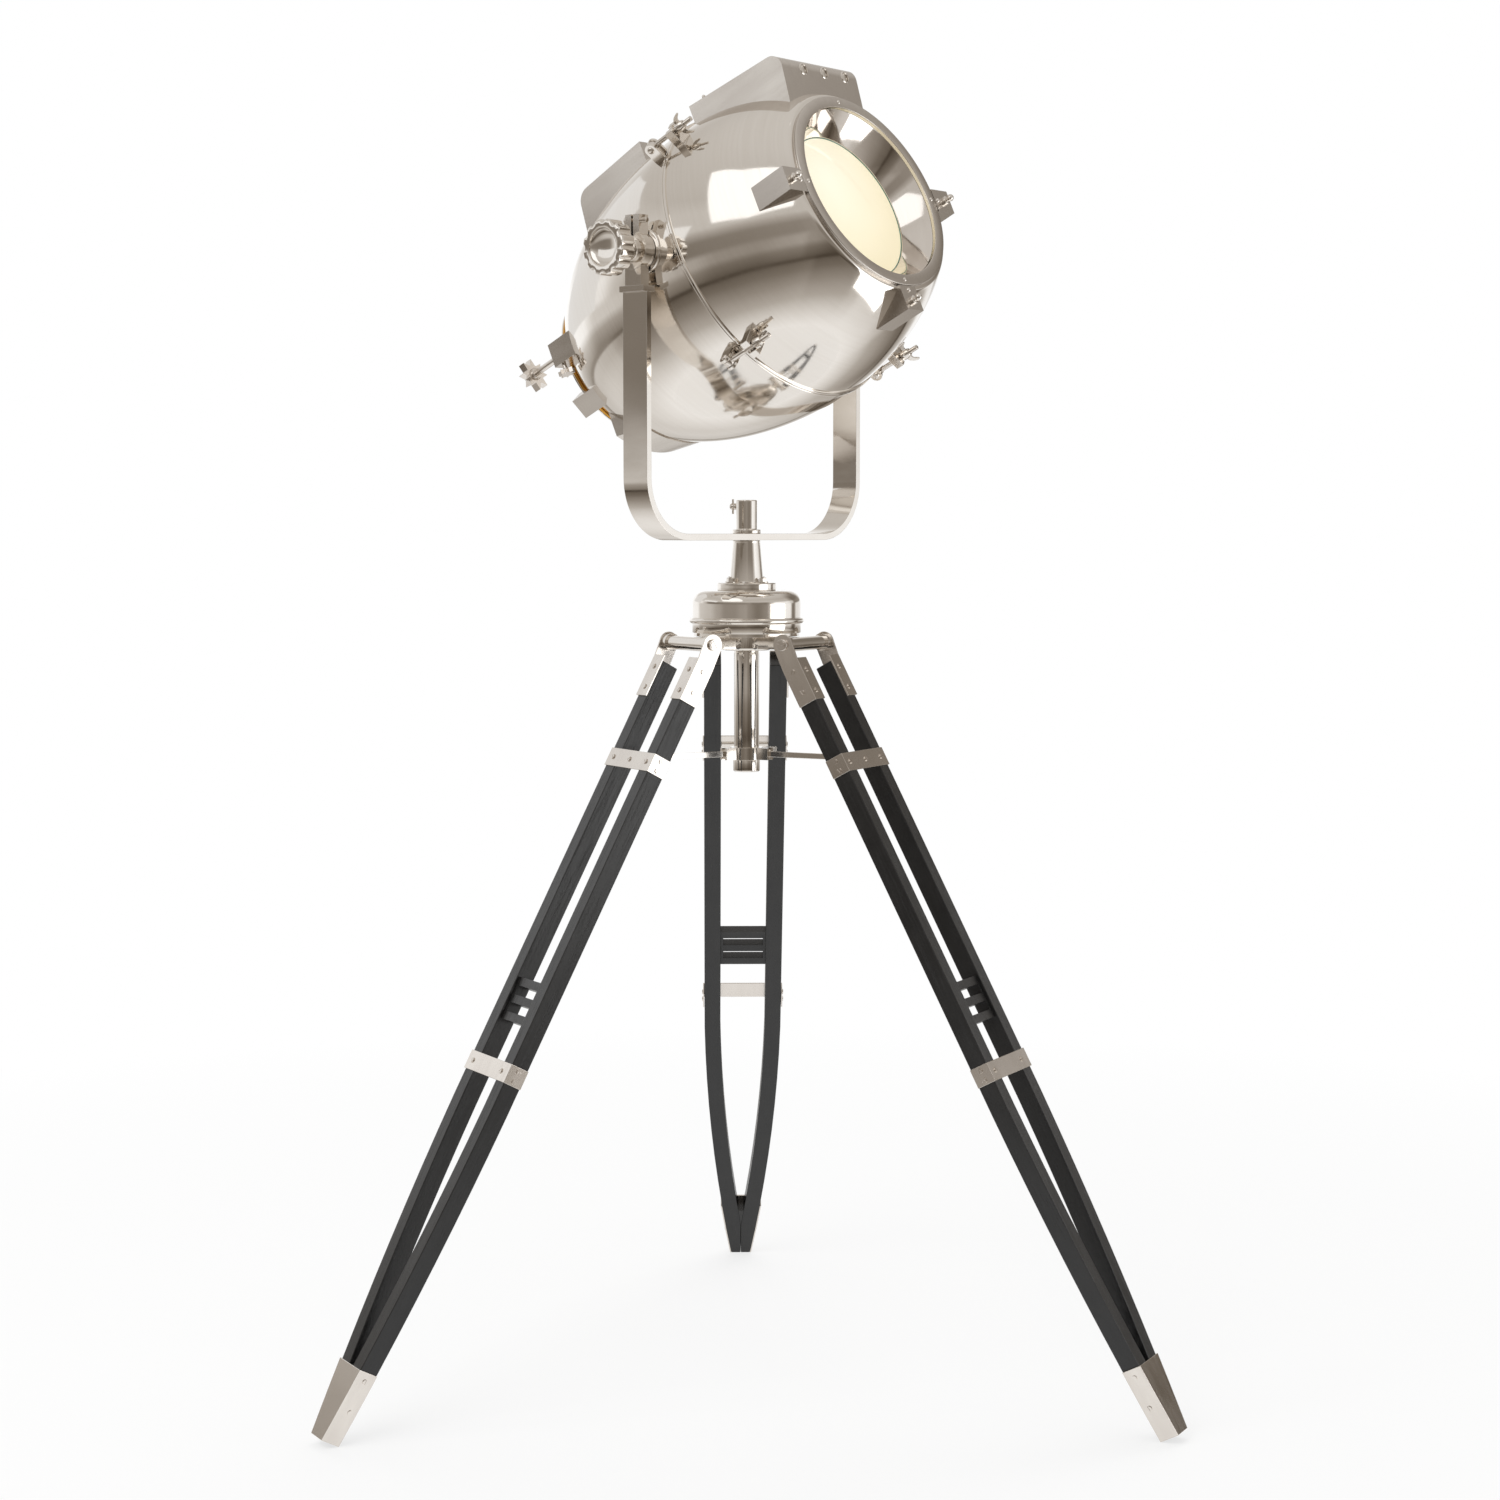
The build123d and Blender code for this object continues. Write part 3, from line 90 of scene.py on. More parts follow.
upward = Vector((0, 0, 1))
elevation = math.radians(pose["elevation"])
lean = math.radians(stand["legLean"])
ahead = outAt(pose["heading"])
tiltLine = acrossAt(pose["heading"])
beam = ahead * math.cos(elevation) + upward * math.sin(elevation)
headUp = upward * math.cos(elevation) - ahead * math.sin(elevation)
headCentre = upward * pose["tiltHeight"] - headUp * pose["axleAboveAxis"]
axes = {
    "world": Matrix(),
    "yoke": axesAt((0, 0, 0), ahead, tiltLine, upward),
    "head": axesAt(headCentre, beam, tiltLine, headUp),  # x along the beam, y along the axle
}
for leg, azimuth in stand["azimuths"].items():
    radial = outAt(azimuth)
    legUp = upward * math.cos(lean) - radial * math.sin(lean)
    legOut = radial * math.cos(lean) + upward * math.sin(lean)
    axes[leg] = axesAt(radial * stand["footRadius"], acrossAt(azimuth), legUp, legOut)


# Node tools. An input that is a socket is linked, and any other is set.
def feed(tree, node, inputs):
    for key, value in inputs.items():
        if isinstance(value, bpy.types.NodeSocket):
            tree.links.new(value, node.inputs[key])
        else:
            node.inputs[key].default_value = value
    return node


def addNode(tree, kind, inputs=None, **settings):
    node = tree.nodes.new(kind)
    for key, value in settings.items():
        setattr(node, key, value)
    return feed(tree, node, inputs or {})


def addMath(tree, operation, *values):
    return addNode(tree, "ShaderNodeMath", dict(enumerate(values)), operation=operation).outputs[0]


def addNoise(tree, vector, scale, detail, roughness=0.5, distortion=0.0):
    inputs = {"Vector": vector, "Scale": scale, "Detail": detail, "Roughness": roughness, "Distortion": distortion}
    return addNode(tree, "ShaderNodeTexNoise", inputs).outputs["Fac"]


def stretch(tree, vector, scale):
    return addNode(tree, "ShaderNodeVectorMath", {0: vector, 1: scale}, operation="MULTIPLY").outputs["Vector"]


def spreadValue(tree, mask, low, high, start=0.0, end=1.0):
    inputs = {"Value": mask, "From Min": start, "From Max": end, "To Min": low, "To Max": high}
    return addNode(tree, "ShaderNodeMapRange", inputs).outputs["Result"]


def mixColours(tree, mask, low, high):
    inputs = {"Factor": mask, "A": low if isinstance(low, bpy.types.NodeSocket) else (*low, 1), "B": (*high, 1)}
    return addNode(tree, "ShaderNodeMix", inputs, data_type="RGBA").outputs["Result"]


def addBump(tree, height, strength, depth, normal=None):
    inputs = {"Height": height, "Strength": strength, "Distance": depth}
    if normal:
        inputs["Normal"] = normal
    return addNode(tree, "ShaderNodeBump", inputs).outputs["Normal"]


# Shader groups shared by the finishes
def newGroup(name, values, outputs):
    group = bpy.data.node_groups.new(name, "ShaderNodeTree")
    group.interface.new_socket(name="Vector", in_out="INPUT", socket_type="NodeSocketVector")
    for label, value in values.items():
        kind = "NodeSocketFloat" if isinstance(value, float) else "NodeSocketVector"
        group.interface.new_socket(name=label, in_out="INPUT", socket_type=kind).default_value = value
    for label in outputs:
        group.interface.new_socket(name=label, in_out="OUTPUT", socket_type="NodeSocketFloat")
    return group, group.nodes.new("NodeGroupInput").outputs, group.nodes.new("NodeGroupOutput")


def buildPolishMarks():  # faint streaks and cloudy patches left by a polishing wheel
    values = {"Streak Scale": (4.0, 160.0, 160.0), "Patch Scale": 9.0}
    group, given, result = newGroup("polishMarks", values, ("Mask", "Height"))
    streaks = addNoise(group, stretch(group, given["Vector"], given["Streak Scale"]), 1.0, 3.0, 0.6)
    patches = addNoise(group, given["Vector"], given["Patch Scale"], 2.0)
    mask = spreadValue(group, addMath(group, "MULTIPLY", streaks, patches), 0.0, 1.0, 0.12, 0.42)
    feed(group, result, {"Mask": mask, "Height": streaks})
    return group


def buildSpunRipple():  # shallow waves in sheet metal that was spun and planished by hand
    group, given, result = newGroup("spunRipple", {"Scale": 7.0}, ("Height",))
    feed(group, result, {"Height": addNoise(group, given["Vector"], given["Scale"], 1.0, 0.35, 0.4)})
    return group


def buildEdgeRub():  # where handling has rubbed the edges; the black wood also uses this mask to lighten its edges, partly as wear and partly as a painted sheen
    group, given, result = newGroup("edgeRubAndSheen", {"Start": 0.52, "Full": 0.62}, ("Mask",))
    shape = addNode(group, "ShaderNodeNewGeometry").outputs["Pointiness"]
    edges = spreadValue(group, shape, 0.0, 1.0, given["Start"], given["Full"])
    feed(group, result, {"Mask": addMath(group, "MULTIPLY", edges, addNoise(group, given["Vector"], 38.0, 3.0))})
    return group


def buildWoodGrain():  # open-pored hardwood under black lacquer; the grain runs along y
    values = {"Pore Scale": (620.0, 14.0, 620.0), "Figure Scale": (60.0, 3.2, 60.0)}
    group, given, result = newGroup("woodGrain", values, ("Pores", "Figure", "Height"))
    fine = addNoise(group, stretch(group, given["Vector"], given["Pore Scale"]), 1.0, 4.0, 0.7, 0.3)
    broad = addNoise(group, stretch(group, given["Vector"], given["Figure Scale"]), 1.0, 3.0, 0.55, 0.3)
    pores = spreadValue(group, fine, 0.0, 1.0, 0.52, 0.68)
    figure = spreadValue(group, broad, 0.0, 1.0, 0.32, 0.68)
    feed(group, result, {"Pores": pores, "Figure": figure, "Height": addMath(group, "SUBTRACT", figure, pores)})
    return group


polishMarks = buildPolishMarks()
spunRipple = buildSpunRipple()
edgeRubAndSheen = buildEdgeRub()
woodGrain = buildWoodGrain()


def placeGroup(tree, group, vector, values=None):
    return addNode(tree, "ShaderNodeGroup", {"Vector": vector, **(values or {})}, node_tree=group).outputs


# Finishes
def newMaterial(name, place="world"):  # its pattern runs along the axes called place
    material = bpy.data.materials.new(name)
    material.use_nodes = True
    tree = material.node_tree
    tree.nodes.clear()
    skin = tree.nodes.new("ShaderNodeBsdfPrincipled")
    addNode(tree, "ShaderNodeOutputMaterial", {"Surface": skin.outputs["BSDF"]})
    where = tree.nodes.new("ShaderNodeTexCoord").outputs["Object"]
    if place != "world":
        back = axes[place].inverted()
        inputs = {"Vector": where, "Location": back.translation, "Rotation": back.to_euler()}
        where = addNode(tree, "ShaderNodeMapping", inputs).outputs["Vector"]
    return material, tree, skin, where


nickelRelief = {"waveDepth": 0.02, "scratchDepth": 0.001, "edgeWear": 0.05}
nickelFinishes = {
    "polishedNickel": {"pale": (0.83, 0.79, 0.74), "deep": (0.79, 0.745, 0.69), "rough": (0.06, 0.12),
                       "streak": (26.0, 26.0, 70.0), "patch": 14.0, "ripple": 9.0, "wave": 0.04, "scratch": 0.01},
    "spunNickel": {"pale": (0.84, 0.80, 0.75), "deep": (0.80, 0.755, 0.70), "rough": (0.045, 0.11),
                   "streak": (220.0, 5.0, 5.0), "patch": 6.0, "ripple": 6.5, "wave": 0.08, "scratch": 0.012},
    "satinNickel": {"pale": (0.68, 0.64, 0.59), "deep": (0.63, 0.585, 0.54), "rough": (0.17, 0.24),
                    "streak": (8.0, 120.0, 60.0), "patch": 10.0, "ripple": 7.0, "wave": 0.03, "scratch": 0.01},
    "mirrorNickel": {"pale": (0.84, 0.80, 0.75), "deep": (0.78, 0.73, 0.68), "rough": (0.04, 0.09),
                     "streak": (160.0, 10.0, 10.0), "patch": 8.0, "ripple": 8.0, "wave": 0.08, "scratch": 0.01},
    "plateNickel": {"pale": (0.80, 0.755, 0.70), "deep": (0.73, 0.68, 0.63), "rough": (0.13, 0.22),
                    "streak": (90.0, 14.0, 90.0), "patch": 16.0, "ripple": 12.0, "wave": 0.03, "scratch": 0.03},
}


def buildNickel(name, place, finish):
    material, tree, skin, where = newMaterial(name, place)
    marks = placeGroup(tree, polishMarks, where, {"Streak Scale": finish["streak"], "Patch Scale": finish["patch"]})
    ripple = placeGroup(tree, spunRipple, where, {"Scale": finish["ripple"]})
    edgeMask = placeGroup(tree, edgeRubAndSheen, where)
    low, high = finish["rough"]
    plain = spreadValue(tree, marks["Mask"], high, low)
    waves = addBump(tree, ripple["Height"], finish["wave"], nickelRelief["waveDepth"])
    feed(tree, skin, {
        "Metallic": 1.0,
        "Base Color": mixColours(tree, marks["Mask"], finish["deep"], finish["pale"]),
        "Roughness": addMath(tree, "MULTIPLY_ADD", edgeMask["Mask"], nickelRelief["edgeWear"], plain),
        "Normal": addBump(tree, marks["Height"], finish["scratch"], nickelRelief["scratchDepth"], waves),
    })
    return material


# edge is the colour laid on the wood's pointy edges: partly rubbed lacquer, partly a painted sheen standing in for
# light caught along the edges
woodFinish = {
    "deep": (0.0035, 0.0035, 0.0037), "pale": (0.007, 0.007, 0.0073), "edge": (0.035, 0.033, 0.031),
    "rubAndSheen": {"Start": 0.51, "Full": 0.58}, "rough": (0.3, 0.48), "shine": 0.55, "relief": 0.22, "depth": 0.0004,
}


def buildWood(name, place, finish):
    material, tree, skin, where = newMaterial(name, place)
    grain = placeGroup(tree, woodGrain, where)
    edgeMask = placeGroup(tree, edgeRubAndSheen, where, finish["rubAndSheen"])
    ground = mixColours(tree, grain["Figure"], finish["deep"], finish["pale"])
    feed(tree, skin, {
        # painted sheen: the edges are lightened towards the edge colour, partly for wear and partly for light caught
        # along them
        "Base Color": mixColours(tree, edgeMask["Mask"], ground, finish["edge"]),
        "Roughness": spreadValue(tree, grain["Pores"], *finish["rough"]),
        "Specular IOR Level": finish["shine"],
        "Normal": addBump(tree, grain["Height"], finish["relief"], finish["depth"]),
    })
    return material


brassFinish = {"streak": (300.0, 12.0, 12.0), "patch": 20.0, "deep": (0.50, 0.24, 0.035), "pale": (0.78, 0.42, 0.085),
               "rough": (0.32, 0.2)}


def buildBrass(name, place, finish):
    material, tree, skin, where = newMaterial(name, place)
    marks = placeGroup(tree, polishMarks, where, {"Streak Scale": finish["streak"], "Patch Scale": finish["patch"]})
    feed(tree, skin, {
        "Metallic": 1.0,
        "Base Color": mixColours(tree, marks["Mask"], finish["deep"], finish["pale"]),
        "Roughness": spreadValue(tree, marks["Mask"], *finish["rough"]),
    })
    return material


lensFinish = {
    "middle": (0.0, -0.022, 0.04), "reach": 0.13, "cloud": 22.0, "cloudShare": 0.16, "strength": 0.62, "coat": 0.5,
    "rim": (0.90, 0.79, 0.52), "core": (1.0, 0.95, 0.79), "deep": (0.62, 0.56, 0.40), "pale": (0.70, 0.65, 0.50),
    "rough": (0.03, 0.08),
}


def buildLensGlass(name, place, finish):  # opal glass lit from behind: cream, brighter where the bulb is
    material, tree, skin, where = newMaterial(name, place)
    parts = addNode(tree, "ShaderNodeSeparateXYZ", {0: where}).outputs
    flat = addNode(tree, "ShaderNodeCombineXYZ", {"Y": parts["Y"], "Z": parts["Z"]}).outputs[0]
    reach = addNode(tree, "ShaderNodeVectorMath", {0: flat, 1: finish["middle"]}, operation="DISTANCE").outputs["Value"]
    glow = spreadValue(tree, reach, 1.0, 0.0, 0.0, finish["reach"])
    cloud = placeGroup(tree, spunRipple, where, {"Scale": finish["cloud"]})["Height"]
    soft = addMath(tree, "MULTIPLY_ADD", cloud, finish["cloudShare"], glow)
    feed(tree, skin, {
        "Emission Color": mixColours(tree, soft, finish["rim"], finish["core"]),
        "Emission Strength": finish["strength"],
        "Base Color": mixColours(tree, soft, finish["deep"], finish["pale"]),
        "Roughness": spreadValue(tree, cloud, *finish["rough"]),
        "Coat Weight": finish["coat"],
    })
    return material


cloudFinishes = {
    "greenGlassEdge": {"cloud": 40.0, "deep": (0.10, 0.22, 0.18), "pale": (0.30, 0.46, 0.38), "rough": (0.05, 0.15)},
    "frostedBulb": {"cloud": 30.0, "deep": (0.85, 0.78, 0.62), "pale": (0.95, 0.9, 0.78), "rough": (0.3, 0.45),
                    "glow": ((1.0, 0.82, 0.5), (1.0, 0.88, 0.62)), "strength": 2.0},
    "holderPlastic": {"cloud": 60.0, "deep": (0.02, 0.02, 0.02), "pale": (0.05, 0.048, 0.045), "rough": (0.35, 0.55)},
}


def buildCloudy(name, place, finish):
    material, tree, skin, where = newMaterial(name, place)
    cloud = placeGroup(tree, spunRipple, where, {"Scale": finish["cloud"]})["Height"]
    feed(tree, skin, {
        "Base Color": mixColours(tree, cloud, finish["deep"], finish["pale"]),
        "Roughness": spreadValue(tree, cloud, *finish["rough"]),
    })
    if "glow" in finish:
        feed(tree, skin, {
            "Emission Color": mixColours(tree, cloud, *finish["glow"]), "Emission Strength": finish["strength"]})
    return material


finishMakers = {"blackWood": (buildWood, woodFinish), "amberBrass": (buildBrass, brassFinish),
                "creamLens": (buildLensGlass, lensFinish)}
finishMakers.update((name, (buildNickel, finish)) for name, finish in nickelFinishes.items())
finishMakers.update((name, (buildCloudy, finish)) for name, finish in cloudFinishes.items())
finishes = {}


def finishIn(name, place):  # each finish is made once for each set of axes it is used in
    label = name if place == "world" else name + place.capitalize()
    if label not in finishes:
        build, finish = finishMakers[name]
        finishes[label] = build(label, place, finish)
    return finishes[label]


# Mesh tools; lengths in millimetres until finishPiece
def softened(points, radius, segments=3, closed=True):  # rounds the corners of a profile
    count = len(points)
    rounded = []
    for place, corner in enumerate(points):
        here = Vector(corner[:2])
        if not closed and place in (0, count - 1):
            rounded.append(tuple(here))
            continue
        before = Vector(points[place - 1][:2]) - here
        after = Vector(points[(place + 1) % count][:2]) - here
        reach = corner[2] if len(corner) > 2 else radius
        cut = min(reach, before.length * 0.48, after.length * 0.48)
        if cut < 0.01 or before.angle(after) > math.radians(176):
            rounded.append(tuple(here))
            continue
        first = here + before.normalized() * cut
        last = here + after.normalized() * cut
        for step in range(segments + 1):
            share = step / segments
            bend = first * (1 - share) ** 2 + here * (2 * share * (1 - share)) + last * share ** 2
            rounded.append(tuple(bend))
    return rounded


def arc(along, reach, radius, start, end, count):  # points of a profile round a centre
    turns = [start + (end - start) * step / count for step in range(count + 1)]
    return [(along + radius * math.sin(turn), reach + radius * math.cos(turn)) for turn in turns]


def addLathe(bm, profile, place=Matrix(), steps=64, flute=None):  # closed loop of (along z, radius)
    rings = []
    for along, radius in profile:
        if radius < 0.001:
            rings.append([bm.verts.new(place @ Vector((0, 0, along)))])
            continue
        ring = []
        for step in range(steps):
            turn = math.tau * step / steps
            reach = flute(radius, turn) if flute else radius
            ring.append(bm.verts.new(place @ Vector((reach * math.cos(turn), reach * math.sin(turn), along))))
        rings.append(ring)
    for first, second in zip(rings, rings[1:] + rings[:1]):
        if len(first) == 1 and len(second) == 1:
            continue
        for step in range(steps):
            after = (step + 1) % steps
            corners = [first[step % len(first)], first[after % len(first)],
                       second[after % len(second)], second[step % len(second)]]
            unique = list(dict.fromkeys(corners))
            if len(unique) > 2:
                bm.faces.new(unique)


def addTurned(bm, points, place=Matrix(), steps=64, radius=0.4, segments=3, closed=True):
    addLathe(bm, softened(points, radius, segments, closed), place, steps)


def addRod(bm, start, end, radius, place, steps, first, last=None):  # first and last round its two ends
    last = first if last is None else last
    addTurned(bm, [(start, 0, 0), (start, radius, first), (end, radius, last), (end, 0, 0)], place, steps)


def addPlate(bm, outline, bottom, top, place=Matrix()):  # outline in x and y, pulled along z
    low = [bm.verts.new(place @ Vector((x, y, bottom))) for x, y in outline]
    high = [bm.verts.new(place @ Vector((x, y, top))) for x, y in outline]
    bm.faces.new(low[::-1])
    bm.faces.new(high)
    for step in range(len(outline)):
        after = (step + 1) % len(outline)
        bm.faces.new([low[step], low[after], high[after], high[step]])


def addBall(bm, radius, place=Matrix(), steps=20):
    turns = [math.pi * step / (steps // 2) for step in range(steps // 2 + 1)]
    addLathe(bm, [(-radius * math.cos(turn), radius * math.sin(turn)) for turn in turns], place, steps)


def addDome(bm, radius, height, place, steps=20):  # round rivet head
    turns = [math.pi * step / 12 for step in range(1, 6)]
    rise = [(height * math.sin(turn), radius * math.cos(turn)) for turn in turns]
    addLathe(bm, [(0, 0), (0, radius)] + rise + [(height, 0)], place, steps)


def addSlottedHead(bm, radius, height, place, slot=0.9, turned=0.0):  # round-headed slotted screw
    addTurned(bm, [(0, 0), (0, radius), (height * 0.5, radius), (height * 0.5, 0)], place, 24, 0.01)
    half = slot / 2
    start = math.asin(half / radius)
    for side in (1, -1):
        for bottom, top, share in ((0.5, 0.8, 1.0), (0.8, 1.0, 0.9)):
            outline = []
            for step in range(13):
                turn = start + (math.pi - 2 * start) * step / 12
                reach = radius * share
                x, y = reach * math.cos(turn), max(reach * math.sin(turn), half) * side
                outline.append((x * math.cos(turned) - y * math.sin(turned),
                                x * math.sin(turned) + y * math.cos(turned)))
            if side < 0:
                outline.reverse()
            addPlate(bm, outline, height * bottom, height * top, place)


def polygonOutline(sides, radius, turned=0.0):
    turns = [math.tau * step / sides + turned for step in range(sides)]
    return [(radius * math.cos(turn), radius * math.sin(turn)) for turn in turns]


def showMesh(name, mesh, place, finish, body, stands, sharp, bevel, segments):
    mesh.polygons.foreach_set("use_smooth", [True] * len(mesh.polygons))
    mesh.set_sharp_from_angle(angle=math.radians(sharp))
    mesh.materials.clear()
    mesh.materials.append(finishIn(finish, place))
    piece = bpy.data.objects.new(name, mesh)
    scene.collection.objects.link(piece)
    if bevel:
        soften = piece.modifiers.new("edges", "BEVEL")
        soften.width = bevel * mm
        soften.segments = segments
        soften.limit_method = "ANGLE"
        soften.angle_limit = math.radians(sharp)
        soften.use_clamp_overlap = True
        soften.harden_normals = True
    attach(piece, body)
    if stands:
        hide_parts(*stands)


def finishPiece(name, bm, place, finish, body, stands=(), sharp=38, bevel=0, segments=2):
    bmesh.ops.recalc_face_normals(bm, faces=bm.faces)
    bm.transform(axes[place] @ Matrix.Scale(mm, 4))
    mesh = bpy.data.meshes.new(name)
    bm.to_mesh(mesh)
    bm.free()
    showMesh(name, mesh, place, finish, body, stands, sharp, bevel, segments)


def dressNode(node, name, place, finish, bevel=0.5, sharp=30, segments=2, reshape=None):
    bm = bmesh.new()  # the CAD shape with softened edges
    bm.from_mesh(cadNodes[node].data)
    if reshape:
        reshape(bm, axes[place])
    bmesh.ops.remove_doubles(bm, verts=bm.verts, dist=1e-5)
    bmesh.ops.dissolve_limit(bm, angle_limit=math.radians(0.6), verts=bm.verts, edges=bm.edges)
    bmesh.ops.recalc_face_normals(bm, faces=bm.faces)
    mesh = bpy.data.meshes.new(name)
    bm.to_mesh(mesh)
    bm.free()
    stale = mesh.attributes.get("custom_normal")
    if stale:
        mesh.attributes.remove(stale)
    showMesh(name, mesh, place, finish, cadNodes[node]["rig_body"], (node,), sharp, bevel, segments)


# Legs: black rails with a ladder spacer, nickel straps, boots, and their screws
legSettings = {
    "railBevel": 1.1, "ladderBevel": 0.7, "strapBevel": 0.45, "bootBevel": 0.7, "stayBevel": 0.6,
    "halfLeg": 53.0, "halfGap": 31.0, "railDepth": 23.0, "bowStart": 470.0, "halfFoot": 13.5,
    "strap": 1.6, "bracket": 2.2, "boot": 2.0, "screwRadius": 3.3, "screwHeight": 1.3, "bootScrewShare": 0.8,
    "bandHeight": 23.6, "bands": ((887.5, (-41.0, 0.0, 41.0)), (481.2, (-41.0, 36.0))),  # top, front screws
    "bandSideScrews": (-6.2, 6.2), "bracketScrews": (972.0, 1000.0), "bracketSideLift": 3.0,
    "bootScrews": ((80.0, 11.0), (41.0, 9.0)), "bootSlope": -0.14,
    "ladder": (517.0, 581.0), "ladderLift": 7.0, "ladderShrink": 0.88, "ladderSlim": 0.78,
}


def halfWidthAt(height):  # half of the leg's width where the rails bow in
    drift = legSettings["halfLeg"] - legSettings["halfFoot"]
    bow = (drift ** 2 + legSettings["bowStart"] ** 2) / (2 * drift)
    drop = max(legSettings["bowStart"] - height, 0)
    return legSettings["halfLeg"] - bow + math.sqrt(bow ** 2 - drop ** 2)


def buildLegScrews(leg):
    s = legSettings
    bm = bmesh.new()
    tilt = 0.4  # of the slots, which ends up at a different angle in each screw
    face = s["railDepth"]

    def addScrew(spot, way, turned, xHint=(0, 1, 0), share=1.0):
        addSlottedHead(bm, s["screwRadius"], s["screwHeight"] * share, aim(spot, way, xHint), turned=turned)

    for top, places in s["bands"]:
        middle = top - s["bandHeight"] / 2
        for x in places:
            tilt += 1.7
            addScrew((x, middle, face + s["strap"]), (0, 0, 1), tilt, (1, 0, 0))
        for side in (-1, 1):
            for lift in s["bandSideScrews"]:
                tilt += 1.1
                addScrew((side * (s["halfLeg"] + s["strap"]), middle + lift, face * 0.52), (side, 0, 0), tilt)
    for side in (-1, 1):
        for up in s["bracketScrews"]:
            tilt += 0.9
            middle = side * (s["halfGap"] + s["halfLeg"] + s["bracket"]) / 2
            addScrew((middle, up, face + s["bracket"]), (0, 0, 1), tilt, (1, 0, 0))
            spot = (side * (s["halfLeg"] + s["bracket"]), up + s["bracketSideLift"], face * 0.5)
            addScrew(spot, (side, 0, 0), -tilt)
        for up, depth in s["bootScrews"]:
            tilt += 1.3
            spot = (side * (halfWidthAt(up) + s["boot"]), up, depth)
            addScrew(spot, (side, s["bootSlope"], 0), tilt, share=s["bootScrewShare"])
    finishPiece("leg_" + leg + "_screws", bm, leg, "plateNickel", "leg_" + leg, sharp=32)


def slimLadder(bm, grid):  # the ladder's steps are lower and shallower than in the CAD, so light shows between
    s = legSettings
    back = grid.inverted()
    for vert in bm.verts:
        x, up, out = back @ vert.co / mm
        if s["ladder"][0] < up < s["ladder"][1]:
            middle = sum(s["ladder"]) / 2
            up = middle + s["ladderLift"] + (up - middle) * s["ladderShrink"]
            out = s["railDepth"] / 2 + (out - s["railDepth"] / 2) * s["ladderSlim"]
            vert.co = grid @ (Vector((x, up, out)) * mm)


for leg in stand["azimuths"]:
    node = "leg_" + leg
    for rail in (node + "_rail_left", node + "_rail_right"):
        dressNode(rail, rail + "_wood", leg, "blackWood", legSettings["railBevel"], 30, 3)
    dressNode(node + "_spacers", node + "_ladder", leg, "blackWood", legSettings["ladderBevel"],
              reshape=slimLadder)
    dressNode(node + "_straps", node + "_bands", leg, "plateNickel", legSettings["strapBevel"])
    dressNode(node + "_boot", node + "_shoe", leg, "plateNickel", legSettings["bootBevel"])
    buildLegScrews(leg)
    dressNode("stay_" + leg, "stay_" + leg + "_bar", "world", "polishedNickel", legSettings["stayBevel"])
print("legs done")


# Crown, its cover, the neck, the column and the collar
crownSettings = {
    "coverBottom": 933.0, "coverTop": 985.0, "coverRadius": 67.3, "wall": 2.2, "shoulder": 16.0,
    "beadHeight": 948.0, "beadRadius": 3.7, "holeRadius": 24.3,
    "screwTurn": 219.0, "screwDrop": 9.0, "screwRadius": 2.4, "screwHeight": 1.2, "screwSlot": 0.8,
}
neckSettings = {
    "flangeRadius": 36.5, "flangeHeight": 9.5, "footRadius": 19.5, "headRadius": 17.0, "top": 1046.7,
    "pintleRadius": 8.0, "pintleLength": 38.0, "boltTurns": (45, 135, 225, 315), "boltCircle": 28.0,
    "washerRadius": 6.6, "washerHeight": 1.4, "boltRadius": 5.2, "nutHeight": 4.2, "boltHeight": 6.0, "stud": 2.9,
}
columnSettings = {"radius": 15.5, "wall": 2.5, "bottom": 775.0, "top": 911.0, "capRadius": 16.5, "capHeight": 15.0,
                  "plugGap": 0.2, "plugTop": 790.0}
hingeSettings = {"up": 1038.0, "out": 15.0, "head": 58.7, "radius": 5.2, "height": 1.2, "slot": 1.3}


def buildCrownCover():
    s = crownSettings
    bottom, top, outer, shoulder = s["coverBottom"], s["coverTop"], s["coverRadius"], s["shoulder"]
    inner = outer - s["wall"]
    profile = [(bottom, inner), (bottom, outer - 0.4), (bottom + 0.5, outer)]
    profile += arc(s["beadHeight"], outer, s["beadRadius"], -math.pi / 2, math.pi / 2, 8)
    profile += arc(top - shoulder, outer - shoulder, shoulder, 0, math.pi / 2, 10)
    profile += [(top, s["holeRadius"]), (top - s["wall"], s["holeRadius"]),
                (top - s["wall"], outer - shoulder), (top - shoulder, inner)]
    bm = bmesh.new()
    addLathe(bm, profile, steps=160)
    finishPiece("crown_cover_shell", bm, "world", "polishedNickel", "stand", ("crown_cover",), 50)
    bm = bmesh.new()
    way = outAt(s["screwTurn"])
    spot = way * (outer - 0.1) + upward * (s["beadHeight"] - s["screwDrop"])
    addSlottedHead(bm, s["screwRadius"], s["screwHeight"], aim(spot, way), s["screwSlot"], 0.5)
    finishPiece("crown_cover_screw", bm, "world", "plateNickel", "stand")


